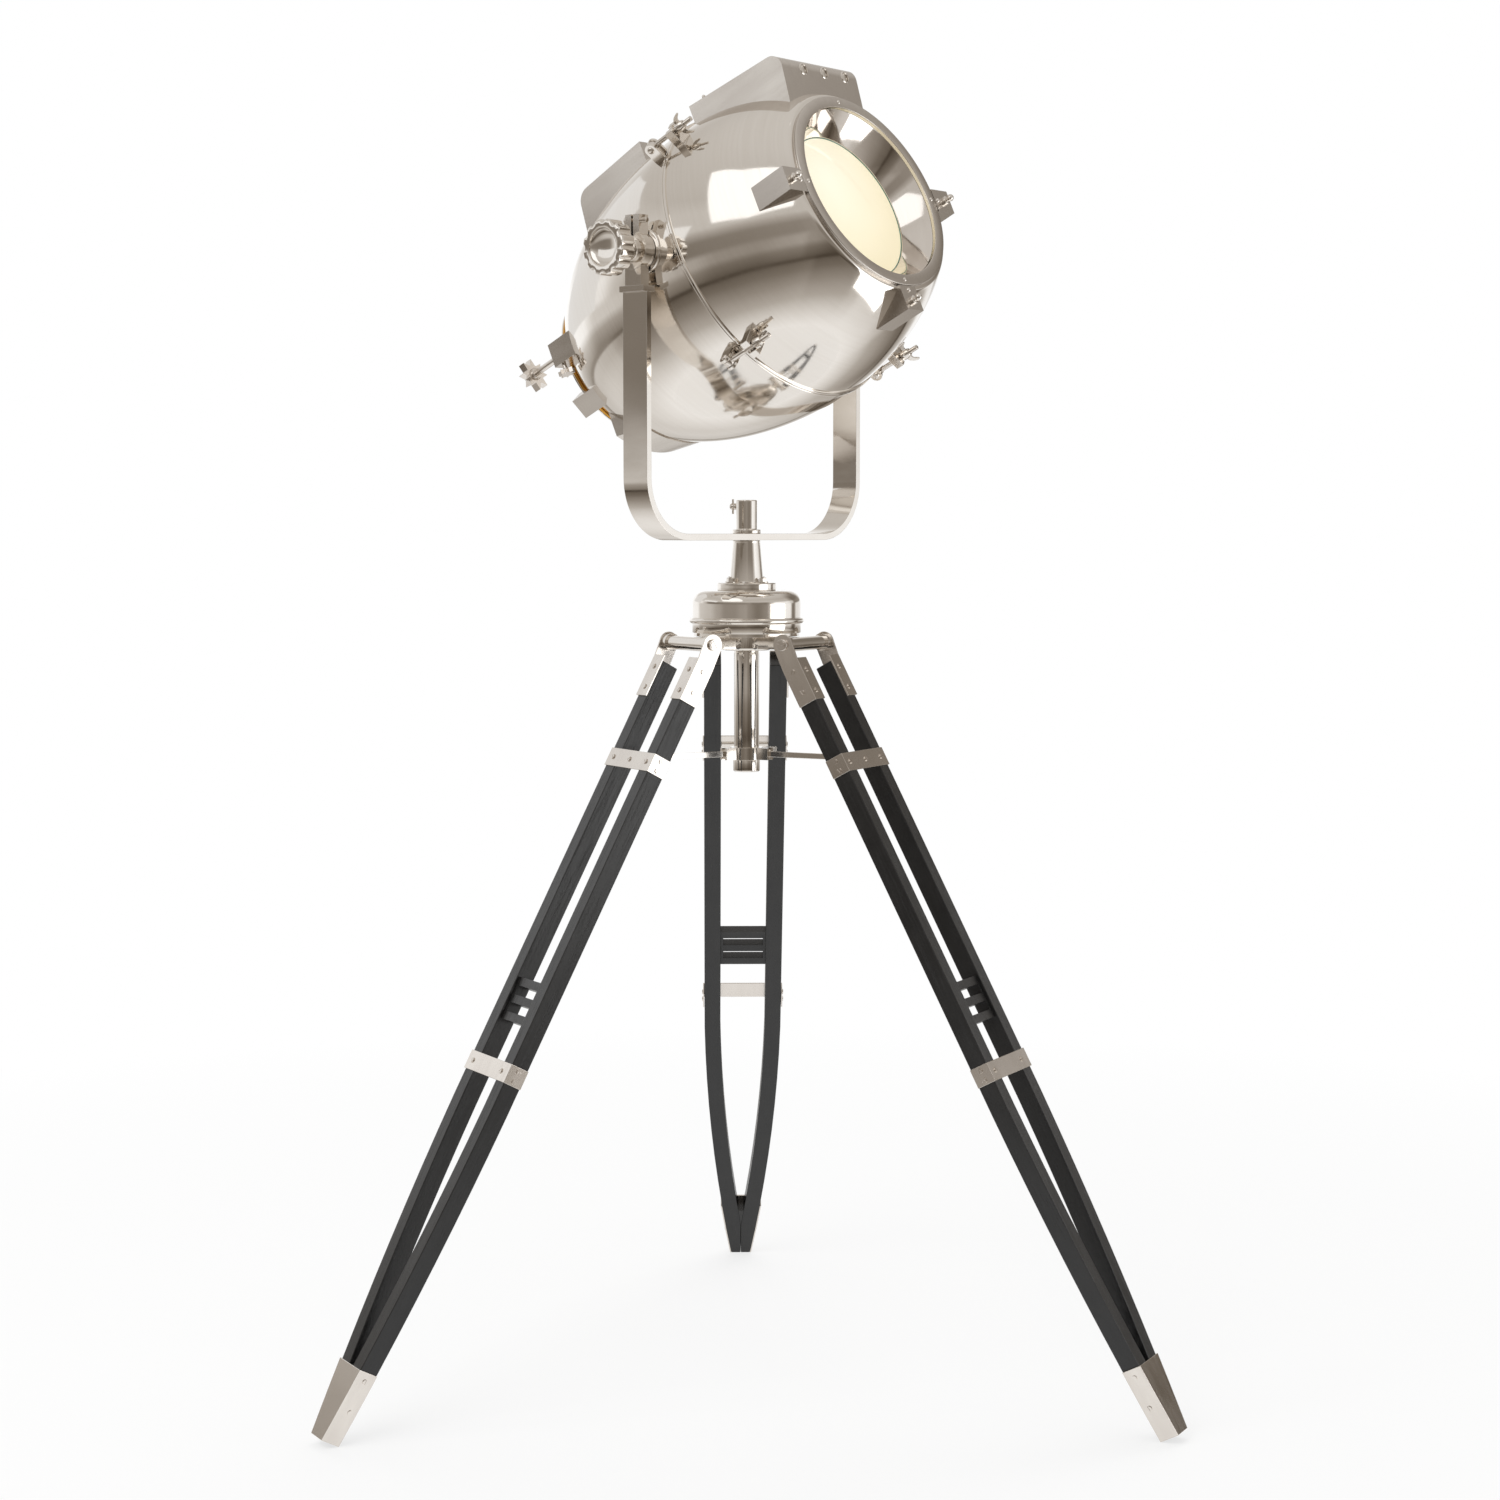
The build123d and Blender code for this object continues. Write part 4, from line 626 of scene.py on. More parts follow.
def buildNeck():
    s = neckSettings
    base, top, shank = crownSettings["coverTop"], s["top"], s["pintleRadius"]
    flange = base + s["flangeHeight"]
    bm = bmesh.new()
    addTurned(bm, [
        (base, 0, 0), (base, s["flangeRadius"], 0.8), (flange, s["flangeRadius"], 1.6),
        (flange, s["footRadius"] + 1.6, 1.4), (top - 3, s["headRadius"], 0.4), (top, s["headRadius"], 0.8),
        (top, shank, 0.2), (top + s["pintleLength"], shank, 0.8), (top + s["pintleLength"], 0, 0),
    ], steps=96, radius=1.0, segments=4, closed=False)
    finishPiece("neck_turning", bm, "world", "polishedNickel", "stand", ("neck",), sharp=40)
    bm = bmesh.new()
    for number, azimuth in enumerate(s["boltTurns"]):
        spot = outAt(azimuth) * s["boltCircle"] + upward * flange
        addRod(bm, 0, s["washerHeight"], s["washerRadius"], aim(spot, upward), 28, 0.3)
        nut = aim(spot + upward * s["washerHeight"], upward)
        addPlate(bm, polygonOutline(6, s["boltRadius"], number * 0.5), 0, s["nutHeight"], nut)
        addRod(bm, s["nutHeight"], s["boltHeight"], s["stud"], nut, 20, 0.2, 0.8)
    finishPiece("neck_bolt_set", bm, "world", "plateNickel", "stand", ("neck_bolts",), sharp=30, bevel=0.35)


def buildColumn():
    s = columnSettings
    bottom, top, radius = s["bottom"], s["top"], s["radius"]
    inner = radius - s["wall"]
    bm = bmesh.new()
    addTurned(bm, [(bottom, inner), (bottom, radius), (top, radius), (top, inner)], steps=72, radius=0.3)
    finishPiece("column_tube", bm, "world", "polishedNickel", "stand", ("column",), sharp=40)
    low, plug = bottom - s["capHeight"], inner - s["plugGap"]
    bm = bmesh.new()
    addTurned(bm, [
        (low, 0, 0), (low, s["capRadius"], 2.2), (bottom, s["capRadius"], 0.6), (bottom, plug, 0.1),
        (s["plugTop"], plug, 0.5), (s["plugTop"], 0, 0),
    ], steps=72, radius=0.5, segments=4, closed=False)
    finishPiece("column_end_cap", bm, "world", "polishedNickel", "stand", ("column_cap",), sharp=40)


def buildHingePinSlots():
    s = hingeSettings
    radius = stand["footRadius"] - s["up"] * math.sin(lean) + s["out"] * math.cos(lean)
    height = s["up"] * math.cos(lean) + s["out"] * math.sin(lean)
    bm = bmesh.new()
    for azimuth in stand["azimuths"].values():
        across = acrossAt(azimuth)
        for side in (-1, 1):
            spot = outAt(azimuth) * radius + upward * height + across * (side * s["head"])
            turned = azimuth * 0.05 + side
            addSlottedHead(bm, s["radius"], s["height"], aim(spot, across * side), s["slot"], turned)
    finishPiece("hinge_pin_caps", bm, "world", "plateNickel", "stand")


buildCrownCover()
buildNeck()
buildColumn()
dressNode("crown", "crown_casting", "world", "polishedNickel", 0.8)
dressNode("hinge_pins", "hinge_pin_set", "world", "plateNickel", 0.9, 30, 3)
dressNode("stay_collar", "stay_collar_ring", "world", "polishedNickel", 0.6)
dressNode("collar_screw", "collar_thumb_screw", "world", "plateNickel", 0.5)
buildHingePinSlots()
print("crown, neck and column done")


# Yoke: bent strap, clamps, the spigot on top of the pintle, and the tilt knobs
spigotSettings = {
    "radius": 13.0, "base": 1055.0, "baseRadius": 17.5, "baseHeight": 5.0, "top": 1096.5, "bore": 8.2,
    "boreTop": 1085.2, "dimple": 5.0, "dimpleDepth": 2.2,
    "screwHeight": 1088.5, "screwLength": 9.0, "thread": 2.6, "flange": 4.2, "ball": 4.4, "bar": 18.4, "barRadius": 1.3,
}
knobSettings = {
    "radius": 32.5, "start": 236.0, "end": 258.0, "neck": 12.5, "neckStart": 214.3, "bore": 6.2, "web": 8.0,
    "bowl": 21.5, "bowlDepth": 5.4, "lobes": 12, "scoop": 6.5, "scoopShare": 0.55, "scoopStart": 27.0,
}

dressNode("yoke", "yoke_strap", "yoke", "polishedNickel", 2.4, 30, 4)
dressNode("yoke_clamps", "yoke_clamp_pair", "yoke", "polishedNickel", 0.8, 30, 3)


def buildSpigot():
    s = spigotSettings
    step = s["base"] + s["baseHeight"]
    floor = s["top"] - s["dimpleDepth"]
    bm = bmesh.new()
    addTurned(bm, [
        (s["base"], s["bore"], 0.2), (s["base"], s["baseRadius"], 0.8), (step, s["baseRadius"], 1.0),
        (step + 0.6, s["radius"], 0.6), (s["top"], s["radius"], 1.5), (s["top"], s["dimple"], 1.0),
        (floor, s["dimple"], 0.5), (floor, 0, 0), (s["boreTop"], 0, 0), (s["boreTop"], s["bore"], 0.4),
    ], radius=0.5, segments=4)
    finishPiece("spigot_sleeve", bm, "world", "polishedNickel", "yoke", ("spigot",), sharp=40)
    start = upward * s["screwHeight"] - ahead * (s["radius"] + 0.1)
    tip = start - ahead * s["screwLength"]
    bm = bmesh.new()
    addTurned(bm, [
        (0, 0, 0), (0, s["thread"], 0.2), (1.6, s["thread"]), (2.0, s["flange"]), (4.6, s["flange"]), (5.2, 2.8),
        (s["screwLength"], s["thread"]), (s["screwLength"], 0, 0),
    ], aim(start, -ahead, tiltLine), 24)
    addBall(bm, s["ball"], aim(tip, -ahead), 24)
    addRod(bm, -s["bar"] / 2, s["bar"] / 2, s["barRadius"], aim(tip, upward), 16, 0.5)
    finishPiece("spigot_lock_screw", bm, "world", "plateNickel", "spigot_screw", ("spigot_screw",), sharp=40)


def knobFlute(radius, turn):  # scoops between the lobes
    s = knobSettings
    if radius < s["scoopStart"]:
        return radius
    scoopCentre = s["radius"] + s["scoop"] * s["scoopShare"]
    pitch = math.tau / s["lobes"]
    off = (turn + pitch / 2) % pitch - pitch / 2
    aside = scoopCentre * math.sin(off)
    if abs(aside) >= s["scoop"]:
        return radius
    wall = scoopCentre * math.cos(off) - math.sqrt(s["scoop"] ** 2 - aside ** 2)
    return radius * min(1.0, wall / s["radius"])


def buildTiltKnobs():
    s = knobSettings
    start, end, radius = s["start"], s["end"], s["radius"]
    profile = softened([
        (s["neckStart"], s["bore"], 0.1), (s["neckStart"], s["neck"], 0.6), (start, s["neck"], 0.6),
        (start, radius - 1.2, 0.6), (start + 1.4, radius, 0.6), (end - 1.6, radius, 0.8),
        (end, radius - 2.0, 0.8), (end, s["bowl"] + 1.6, 0.7),
    ], 0.5, 3, closed=False)
    for step in range(9):
        turn = step / 8 * math.pi / 2
        profile.append((end - 0.5 - s["bowlDepth"] * math.sin(turn) ** 0.8, s["bowl"] * math.cos(turn)))
    profile += [(end - s["web"], 0), (end - s["web"], s["bore"])]
    for name, side in (("tilt_knob_left", -1), ("tilt_knob_right", 1)):
        bm = bmesh.new()
        addLathe(bm, profile, aim((0, 0, pose["tiltHeight"]), tiltLine * side, ahead), 240, knobFlute)
        finishPiece(name + "_turning", bm, "world", "polishedNickel", name, (name,), sharp=32)


buildSpigot()
buildTiltKnobs()
print("yoke done")


# Head: two spun shells, the front ring, the funnel and the lens
shellSettings = {
    "girthPlace": 18.0, "girthRadius": 187.0, "rearLength": 296.0, "frontLength": 255.0, "wall": 1.6,
    "seam": 46.0, "seamWidth": 3.2, "seamHeight": 2.6, "seamGap": 0.05,
    "back": -236.0, "front": 201.5, "mouth": 112.5,
    "boss": 27.0, "bossSunk": 3.0, "trunnion": 14.0, "trunnionReach": 214.0, "stud": 6.0, "studLength": 24.0,
}
bezelSettings = {"outer": 125.4, "inner": 111.0, "back": 201.5, "face": 206.3, "groove": 0.9,
                 "rivetReach": 118.2, "rivet": 2.7, "rivetHeight": 1.7}
lensSettings = {
    "place": 166.2, "radius": 95.0, "thick": 5.0, "bulge": 7.0,
    "funnelFront": 201.2, "funnelInner": 111.0, "funnelOuter": 112.4, "lip": 93.0, "wall": 1.5,
    "edgeRing": (91.9, 92.9), "edgeBack": 0.05, "edgeFront": 0.55,
}
headTurn = aim((0, 0, 0), (1, 0, 0), (0, 0, 1))  # lathes of the head turn about its x axis


def aroundBeam(degrees):  # direction square to the beam, 0 upward
    return Vector((0, -math.sin(math.radians(degrees)), math.cos(math.radians(degrees))))


def alongBeam(place, reach, outward):  # frame with z along the beam, off the axis
    return aim(outward * reach + Vector((place, 0, 0)), (1, 0, 0), outward)


def shellReach(place, grow=0.0):
    s = shellSettings
    length = s["rearLength"] if place < s["girthPlace"] else s["frontLength"]
    return (s["girthRadius"] + grow) * math.sqrt(1 - ((place - s["girthPlace"]) / (length + grow)) ** 2)


def alongShell(start, end, count, grow=0.0):
    places = [start + (end - start) * step / count for step in range(count + 1)]
    return [(place, shellReach(place, grow)) for place in places]


def buildRearShell():
    s = shellSettings
    high = shellReach(s["seam"]) + s["seamHeight"]
    bead, edge = s["seam"] - s["seamWidth"], s["seam"] - s["seamGap"]
    profile = alongShell(s["back"], bead, 56)
    profile += [(bead + 0.1, high - 0.5), (bead + 0.6, high), (s["seam"] - 0.4, high), (edge, high - 0.4)]
    bm = bmesh.new()
    addLathe(bm, profile + alongShell(edge, s["back"], 40, -s["wall"]), headTurn, 224)
    start = shellReach(0) - s["wall"] - s["bossSunk"]
    reach, tip = s["trunnionReach"], s["trunnionReach"] + s["studLength"]
    for side in (-1, 1):
        addTurned(bm, [
            (start, 0, 0), (start, s["boss"], 0.3), (start + 7.6, s["boss"], 1.6),
            (start + 8.4, s["trunnion"] + 1.0, 1.0), (reach, s["trunnion"], 0.7),
            (reach, s["stud"], 0.2), (tip, s["stud"], 0.8), (tip, 0, 0),
        ], aim((0, 0, pose["axleAboveAxis"]), (0, side, 0), (1, 0, 0)), 72)
    finishPiece("rear_shell_spun", bm, "head", "spunNickel", "head", ("rear_shell",), 40)


def buildFrontShell():
    s = shellSettings
    high = shellReach(s["seam"]) + s["seamHeight"]
    bead, edge = s["seam"] + s["seamWidth"], s["seam"] + s["seamGap"]
    front, rim = s["front"], shellReach(s["front"])
    profile = [(edge, high - 0.9), (s["seam"] + 0.4, high - 0.5), (bead - 0.6, high - 0.5), (bead, high - 1.2)]
    profile += alongShell(bead, front - 1.2, 48)
    profile += [(front - 0.3, rim - 0.2), (front, rim - 1.0), (front, s["mouth"]), (front - s["wall"], s["mouth"])]
    bm = bmesh.new()
    addLathe(bm, profile + alongShell(front - s["wall"], edge, 40, -s["wall"]), headTurn, 224)
    finishPiece("front_shell_spun", bm, "head", "spunNickel", "head", ("front_shell",), 40)


def buildFrontRing():
    s = bezelSettings
    back, outer, groove = s["back"], s["outer"], s["outer"] - s["groove"]
    bm = bmesh.new()
    addTurned(bm, [
        (back, s["inner"], 0.3), (back, outer, 0.5), (back + 1.7, outer, 0.4), (back + 1.9, groove, 0.3),
        (back + 2.3, groove, 0.3), (back + 2.5, outer, 0.4), (s["face"], outer, 1.2),
        (s["face"], s["inner"] + 0.2, 0.8),
    ], headTurn, 224)
    finishPiece("bezel_ring", bm, "head", "satinNickel", "head", ("bezel",), sharp=36)
    bm = bmesh.new()
    for angle in (0, 90, 180, 270):
        turn = math.radians(angle)
        spot = (s["face"] - 0.1, -math.sin(turn) * s["rivetReach"], math.cos(turn) * s["rivetReach"])
        addDome(bm, s["rivet"], s["rivetHeight"], aim(spot, (1, 0, 0), (0, 0, 1)))
    finishPiece("bezel_rivets", bm, "head", "polishedNickel", "head")


def buildFunnelAndLens():
    s = lensSettings
    place, radius, front = s["place"], s["radius"], s["funnelFront"]
    rear = place - s["thick"] - s["bulge"]
    cup = radius + 0.1
    bm = bmesh.new()
    addTurned(bm, [
        (front, s["funnelInner"], 0.3), (place + s["wall"], s["lip"], 1.2), (place, s["lip"], 0.2),
        (place, cup, 0.1), (rear, cup, 0.3), (rear, cup + s["wall"], 0.3), (place, cup + s["wall"], 0.4),
        (front, s["funnelOuter"], 0.3),
    ], headTurn, 192)
    finishPiece("funnel_mirror", bm, "head", "mirrorNickel", "head", ("funnel",), 36)
    shares = [step / 12 for step in range(13)]
    profile = [(place - s["thick"] - s["bulge"] * (1 - share ** 2), radius * share) for share in shares]
    profile += [(place - 0.8, radius), (place - 0.1, radius - 0.8), (place - 0.1, 0)]
    bm = bmesh.new()
    addLathe(bm, profile, headTurn, 160)
    finishPiece("lens_glass", bm, "head", "creamLens", "head", ("lens",), 30)
    low, high = place - s["edgeBack"], place + s["edgeFront"]
    inner, outer = s["edgeRing"]
    bm = bmesh.new()
    addTurned(bm, [(low, inner), (high, inner), (high, outer), (low, outer)], headTurn, 160, 0.15)
    finishPiece("lens_edge_ring", bm, "head", "greenGlassEdge", "head")


buildRearShell()
buildFrontShell()
buildFrontRing()
buildFunnelAndLens()
print("shells and lens done")


# Hoods, clips, switch box and the rear cover
coverSettings = {"ringOuter": 98.0, "ringInner": 86.0, "ringWidth": 3.4, "dome": 13.0, "wall": 2.0}
pinSettings = {  # each pin's place, reach, stem and ball
    "pins": ((69.0, 193.6, 4.6, 2.4), (174.0, 184.0, 1.3, 1.9)), "aside": 63.0, "way": (0.09, 0, 1),
    "stem": 1.3, "sunk": 1.0,
}
ventSettings = {
    "middle": (196.1, 9.0, 164.9), "pitch": 39.5, "way": (67.3, 0, -10.2), "hole": 6.0, "rim": 7.7,
    "foot": 0.3, "stand": 0.8, "capHeight": 1.1, "capGap": 0.15, "capSunk": 1.5,
}
clipScrewSettings = {
    "angles": (90, 180, 270), "face": 206.0, "reach": 146.0, "stem": 2.6, "length": 7.0,
    "knurl": 5.5, "knurlLength": 4.0, "ball": 4.4, "rivetDrop": 14.0, "rivet": 3.0, "rivetHeight": 2.4,
}

for node in ("front_hood", "rear_hood", "bottom_hood"):
    dressNode(node, node + "_sheet", "head", "satinNickel", 0.5, 24)
dressNode("clips", "clip_blocks", "head", "satinNickel", 0.8, 30, 3)
dressNode("switch_box", "switch_box_case", "head", "satinNickel", 0.8, 30, 3)


def buildRearCover():
    s = coverSettings
    front, edge, rise = shellSettings["back"], s["ringOuter"], s["dome"]
    back = front - s["ringWidth"]
    bm = bmesh.new()
    ring = [(front, s["ringInner"]), (front, edge), (back, edge), (back, s["ringInner"])]
    addTurned(bm, ring, headTurn, 192, 0.8)
    finishPiece("rear_brass_ring", bm, "head", "amberBrass", "head", ("rear_ring",), 40)
    sphere = (edge ** 2 + rise ** 2) / (2 * rise)
    crest = back - s["wall"] - rise + sphere
    reaches = [edge * step / 24 for step in range(25)]
    profile = [(crest - math.sqrt(sphere ** 2 - reach ** 2), reach) for reach in reaches]
    bm = bmesh.new()
    addLathe(bm, profile + [(back - 0.4, edge), (back, edge - 0.4), (back, 0)], headTurn, 192)
    finishPiece("rear_cover_dome", bm, "head", "spunNickel", "head", ("rear_cover",), 40)


def buildHoodPins():  # small pins with a ball end
    s = pinSettings
    way = Vector(s["way"])
    bm = bmesh.new()
    for side in (-1, 1):
        for along, rise, stem, ball in s["pins"]:
            spot = Vector((along, side * s["aside"], rise))
            addRod(bm, -s["sunk"], stem, s["stem"], aim(spot, way, (0, 1, 0)), 14, 0.1)
            addBall(bm, ball, aim(spot + way.normalized() * stem, way, (0, 1, 0)), 18)
    finishPiece("hood_pins", bm, "head", "polishedNickel", "head")


def buildHoodVents():  # a low eyelet round each air hole and a shallow cap sunk in it
    s = ventSettings
    x, y, z = s["middle"]
    inner, outer = s["hole"] - 0.2, s["hole"] + 0.5
    bm = bmesh.new()
    for number in (-1, 0, 1):
        spot = aim((x, y + number * s["pitch"], z), s["way"], (0, 1, 0))
        eyelet = [(-s["foot"], inner), (s["stand"], inner), (s["stand"], outer), (-s["foot"], s["rim"])]
        addTurned(bm, eyelet, spot, 36, 0.2)
        sunk = spot @ Matrix.Translation((0, 0, -s["capSunk"]))
        addDome(bm, s["hole"] - s["capGap"], s["capHeight"], sunk, 32)
    finishPiece("hood_vent_caps", bm, "head", "polishedNickel", "head")


def buildClipScrews():
    s = clipScrewSettings
    tip = s["length"] + 0.6
    bm = bmesh.new()
    for angle in s["angles"]:
        outward = aroundBeam(angle)
        addTurned(bm, [
            (0, 0, 0), (0, s["knurl"], 0.4), (s["knurlLength"], s["knurl"], 0.8),
            (s["knurlLength"] + 0.4, s["stem"], 0.3), (tip, s["stem"], 0.2), (tip, 0, 0),
        ], alongBeam(s["face"], s["reach"], outward), 28)
        addBall(bm, s["ball"], alongBeam(s["face"] + s["length"] + s["ball"] / 2, s["reach"], outward), 24)
        rivet = alongBeam(s["face"] - 0.1, s["reach"] - s["rivetDrop"], outward)
        addDome(bm, s["rivet"], s["rivetHeight"], rivet)
    finishPiece("clip_thumb_screws", bm, "head", "polishedNickel", "head", ("clip_screws",), sharp=36)


buildRearCover()
buildHoodPins()
buildHoodVents()
buildClipScrews()
print("hoods and clips done")


# Latches across the seam, with swing bolts and wing nuts
latchSettings = {
    "angles": (45, 135, 225, 315), "pinPlace": 30.0, "pinReach": 201.0, "pin": 2.5, "eye": 6.6, "eyeWidth": 8.0,
    "earReach": 7.8, "pinHead": 4.4, "pinHeadHeight": 2.4,
    "bolt": 3.1, "boltStart": 5.0, "boltLength": 68.0, "threadStart": 26.0, "threadEnd": 1.5, "pitch": 1.8,
    "threadDepth": 0.45, "boltChamfer": 0.8,
    "nutStart": 74.4, "nut": 6.4, "nutTop": 4.8, "nutHeight": 11.0, "nutGap": 0.15, "wingThick": 2.6,
    "wing": ((4.8, 1.4), (9.0, 2.2), (12.6, 6.0), (14.6, 10.4), (15.4, 13.6), (13.8, 15.0), (12.0, 12.6),
             (9.6, 9.2), (6.6, 8.4), (4.6, 9.0)),
}
wingTurn = Matrix(((1, 0, 0, 0), (0, 0, -1, 0), (0, 1, 0, 0), (0, 0, 0, 1)))  # stands the plate upright

dressNode("latch_lugs", "latch_lug_set", "head", "polishedNickel", 0.5)
dressNode("latch_forks", "latch_fork_set", "head", "polishedNickel", 0.6)


def buildSwingBolt(name, outward):
    s = latchSettings
    aside = Vector((1, 0, 0)).cross(outward)
    pivot = outward * s["pinReach"] + Vector((s["pinPlace"], 0, 0))
    half, bore, bolt = s["eyeWidth"] / 2, s["pin"] + 0.1, s["bolt"]
    bm = bmesh.new()
    addTurned(bm, [(-half, bore, 0.2), (-half, s["eye"], 1.2), (half, s["eye"], 1.2), (half, bore, 0.2)],
              aim(pivot, aside, (1, 0, 0)), 32)
    shank = [(s["boltStart"], 0), (s["boltStart"], bolt), (s["threadStart"], bolt)]
    place = s["threadStart"]
    while place < s["boltLength"] - s["threadEnd"]:
        shank += [(place + s["pitch"] * 0.5, bolt - s["threadDepth"]), (place + s["pitch"], bolt)]
        place += s["pitch"]
    shank += [(s["boltLength"], bolt - s["boltChamfer"]), (s["boltLength"], 0)]
    addLathe(bm, shank, aim(pivot, (1, 0, 0), outward), 20)
    finishPiece(name + "_threaded", bm, "head", "plateNickel", name, (name,), sharp=50)


def buildWingNut(name, outward):
    s = latchSettings
    nut = alongBeam(s["nutStart"], s["pinReach"], outward)
    bore, radius, height, half = s["bolt"] + s["nutGap"], s["nut"], s["nutHeight"], s["wingThick"] / 2
    bm = bmesh.new()
    addTurned(bm, [(0, bore, 0.1), (0, radius, 0.6), (height * 0.5, radius, 0.6), (height, s["nutTop"], 0.8),
                   (height, bore, 0.1)], nut, 28)
    for side in (-1, 1):
        outline = softened([(side * x, y) for x, y in s["wing"]], 1.2)
        addPlate(bm, outline, -half, half, nut @ wingTurn)
    finishPiece(name + "_winged", bm, "head", "polishedNickel", name, (name,), sharp=34, bevel=0.5)


def addPinHeads(bm, outward):
    s = latchSettings
    aside = Vector((1, 0, 0)).cross(outward)
    pivot = outward * s["pinReach"] + Vector((s["pinPlace"], 0, 0))
    for side in (-1, 1):
        head = aim(pivot + aside * (side * s["earReach"]), aside * side, (1, 0, 0))
        addDome(bm, s["pinHead"], s["pinHeadHeight"], head)


pinHeads = bmesh.new()
for number, angle in enumerate(latchSettings["angles"], start=1):
    addPinHeads(pinHeads, aroundBeam(angle))
    buildSwingBolt("swing_bolt_" + str(number), aroundBeam(angle))
    buildWingNut("wing_nut_" + str(number), aroundBeam(angle))
finishPiece("latch_pin_heads", pinHeads, "head", "plateNickel", "head")


# Star knobs on the switch box
starSettings = {
    "rays": 8, "core": 0.56, "tipRound": 0.9, "coreRound": 1.8, "boxFace": -240.0, "boxOffset": 4.5, "boxWidth": 31.0,
    "focus": 21.5, "focusThick": 9.0, "collar": 6.4, "collarHeight": 2.4, "shaft": 4.0, "shaftLength": 46.0,
    "shaftReach": 111.0, "hubShare": 0.42, "hubStart": 3.5, "hubEnd": 2.0,
    "small": 11.0, "smallThick": 6.0, "smallShaft": 3.0, "smallLength": 8.0, "smallPlace": -230.0,
    "smallReach": 118.5,
}


def starOutline(radius):
    s = starSettings
    points = []
    for step in range(s["rays"] * 2):
        reach, corner = (radius * s["core"], s["coreRound"]) if step % 2 else (radius, s["tipRound"])
        turn = math.pi * step / s["rays"]
        points.append((reach * math.cos(turn), reach * math.sin(turn), corner))
    return softened(points, 1.0)


def buildFocusKnob():
    s = starSettings
    back = aim((s["boxFace"] - 0.1, -s["shaftReach"], s["boxOffset"]), (-1, 0, 0), (0, 1, 0))
    length, tip, shaft = s["shaftLength"], s["shaftLength"] + 0.5, s["shaft"]
    hub, end = s["focus"] * s["hubShare"], length + s["focusThick"] + s["hubEnd"]
    bm = bmesh.new()
    addTurned(bm, [(0, 0, 0), (0, s["collar"], 0.3), (s["collarHeight"], s["collar"], 0.8),
                   (s["collarHeight"] + 0.2, shaft, 0.3), (tip, shaft, 0.2), (tip, 0, 0)], back, 28)
    addPlate(bm, starOutline(s["focus"]), length, length + s["focusThick"], back)
    start = length - s["hubStart"]
    addTurned(bm, [(start, 0, 0), (start, hub - 1.4, 1.0), (end, hub, 1.6), (end, 0, 0)], back, 36)
    finishPiece("focus_star_knob", bm, "head", "plateNickel", "focus_knob", ("focus_knob",),
                sharp=30, bevel=1.2, segments=3)


def buildSwitchKnob():
    s = starSettings
    spot = (s["smallPlace"], -s["smallReach"], s["boxOffset"] - s["boxWidth"] / 2 - 0.1)
    down = aim(spot, (0, 0, -1), (1, 0, 0))
    length = s["smallLength"]
    bm = bmesh.new()
    addRod(bm, 0, length + 0.5, s["smallShaft"], down, 24, 0.3, 0.2)
    addPlate(bm, starOutline(s["small"]), length, length + s["smallThick"], down)
    finishPiece("switch_star_knob", bm, "head", "plateNickel", "switch_knob", ("switch_knob",), sharp=30, bevel=0.8)


buildFocusKnob()
buildSwitchKnob()
for node, finish in (("bulb", "frostedBulb"), ("bulb_holder", "holderPlastic")):
    lampPart = cadNodes[node].data
    lampPart.materials.clear()
    lampPart.materials.append(finishIn(finish, "head"))
    lampPart.polygons.foreach_set("use_smooth", [True] * len(lampPart.polygons))
print("head done")


# Floor, studio light and camera, in metres
floorSettings = {"radius": 6.0, "tone": (0.86, 0.86, 0.855), "rough": 0.9, "shine": 0.1,
                 "fade": (0.6, 2.4), "bright": (0.72, 1.0)}
studioSettings = {
    "world": 0.62,
    "softboxes": {
        "keySoftbox": {"place": (-1.75, -1.75, 2.85), "size": (2.6, 1.5), "power": 52.0, "target": (0, 0, 1.3)},
        "kickSoftbox": {"place": (2.1, -1.0, 0.35), "size": (0.9, 0.6), "power": 5.0, "target": (0, 0, 1.3)},
        "topSoftbox": {"place": (0.6, 1.6, 3.4), "size": (2.6, 1.6), "power": 36.0, "target": (0, 0, 1.0)},
    },
}
cameraSettings = {"azimuth": -0.914, "distance": 3413.4, "height": 1060.1, "turn": -0.985, "drop": 4.584,
                  "lens": 66.0, "sensor": 36.0, "reach": 60.0}


def backgroundRays(tree):  # 1 for the rays that see the background: the camera's, and those off metal and through glass
    rays = addNode(tree, "ShaderNodeLightPath").outputs
    seen = addMath(tree, "MAXIMUM", rays["Is Camera Ray"], rays["Is Glossy Ray"])
    return addMath(tree, "MAXIMUM", seen, rays["Is Transmission Ray"])


def showStage(name, bm, material):
    mesh = bpy.data.meshes.new(name)
    bm.to_mesh(mesh)
    bm.free()
    mesh.materials.append(material)
    shown = bpy.data.objects.new(name, mesh)
    scene.collection.objects.link(shown)
    return shown


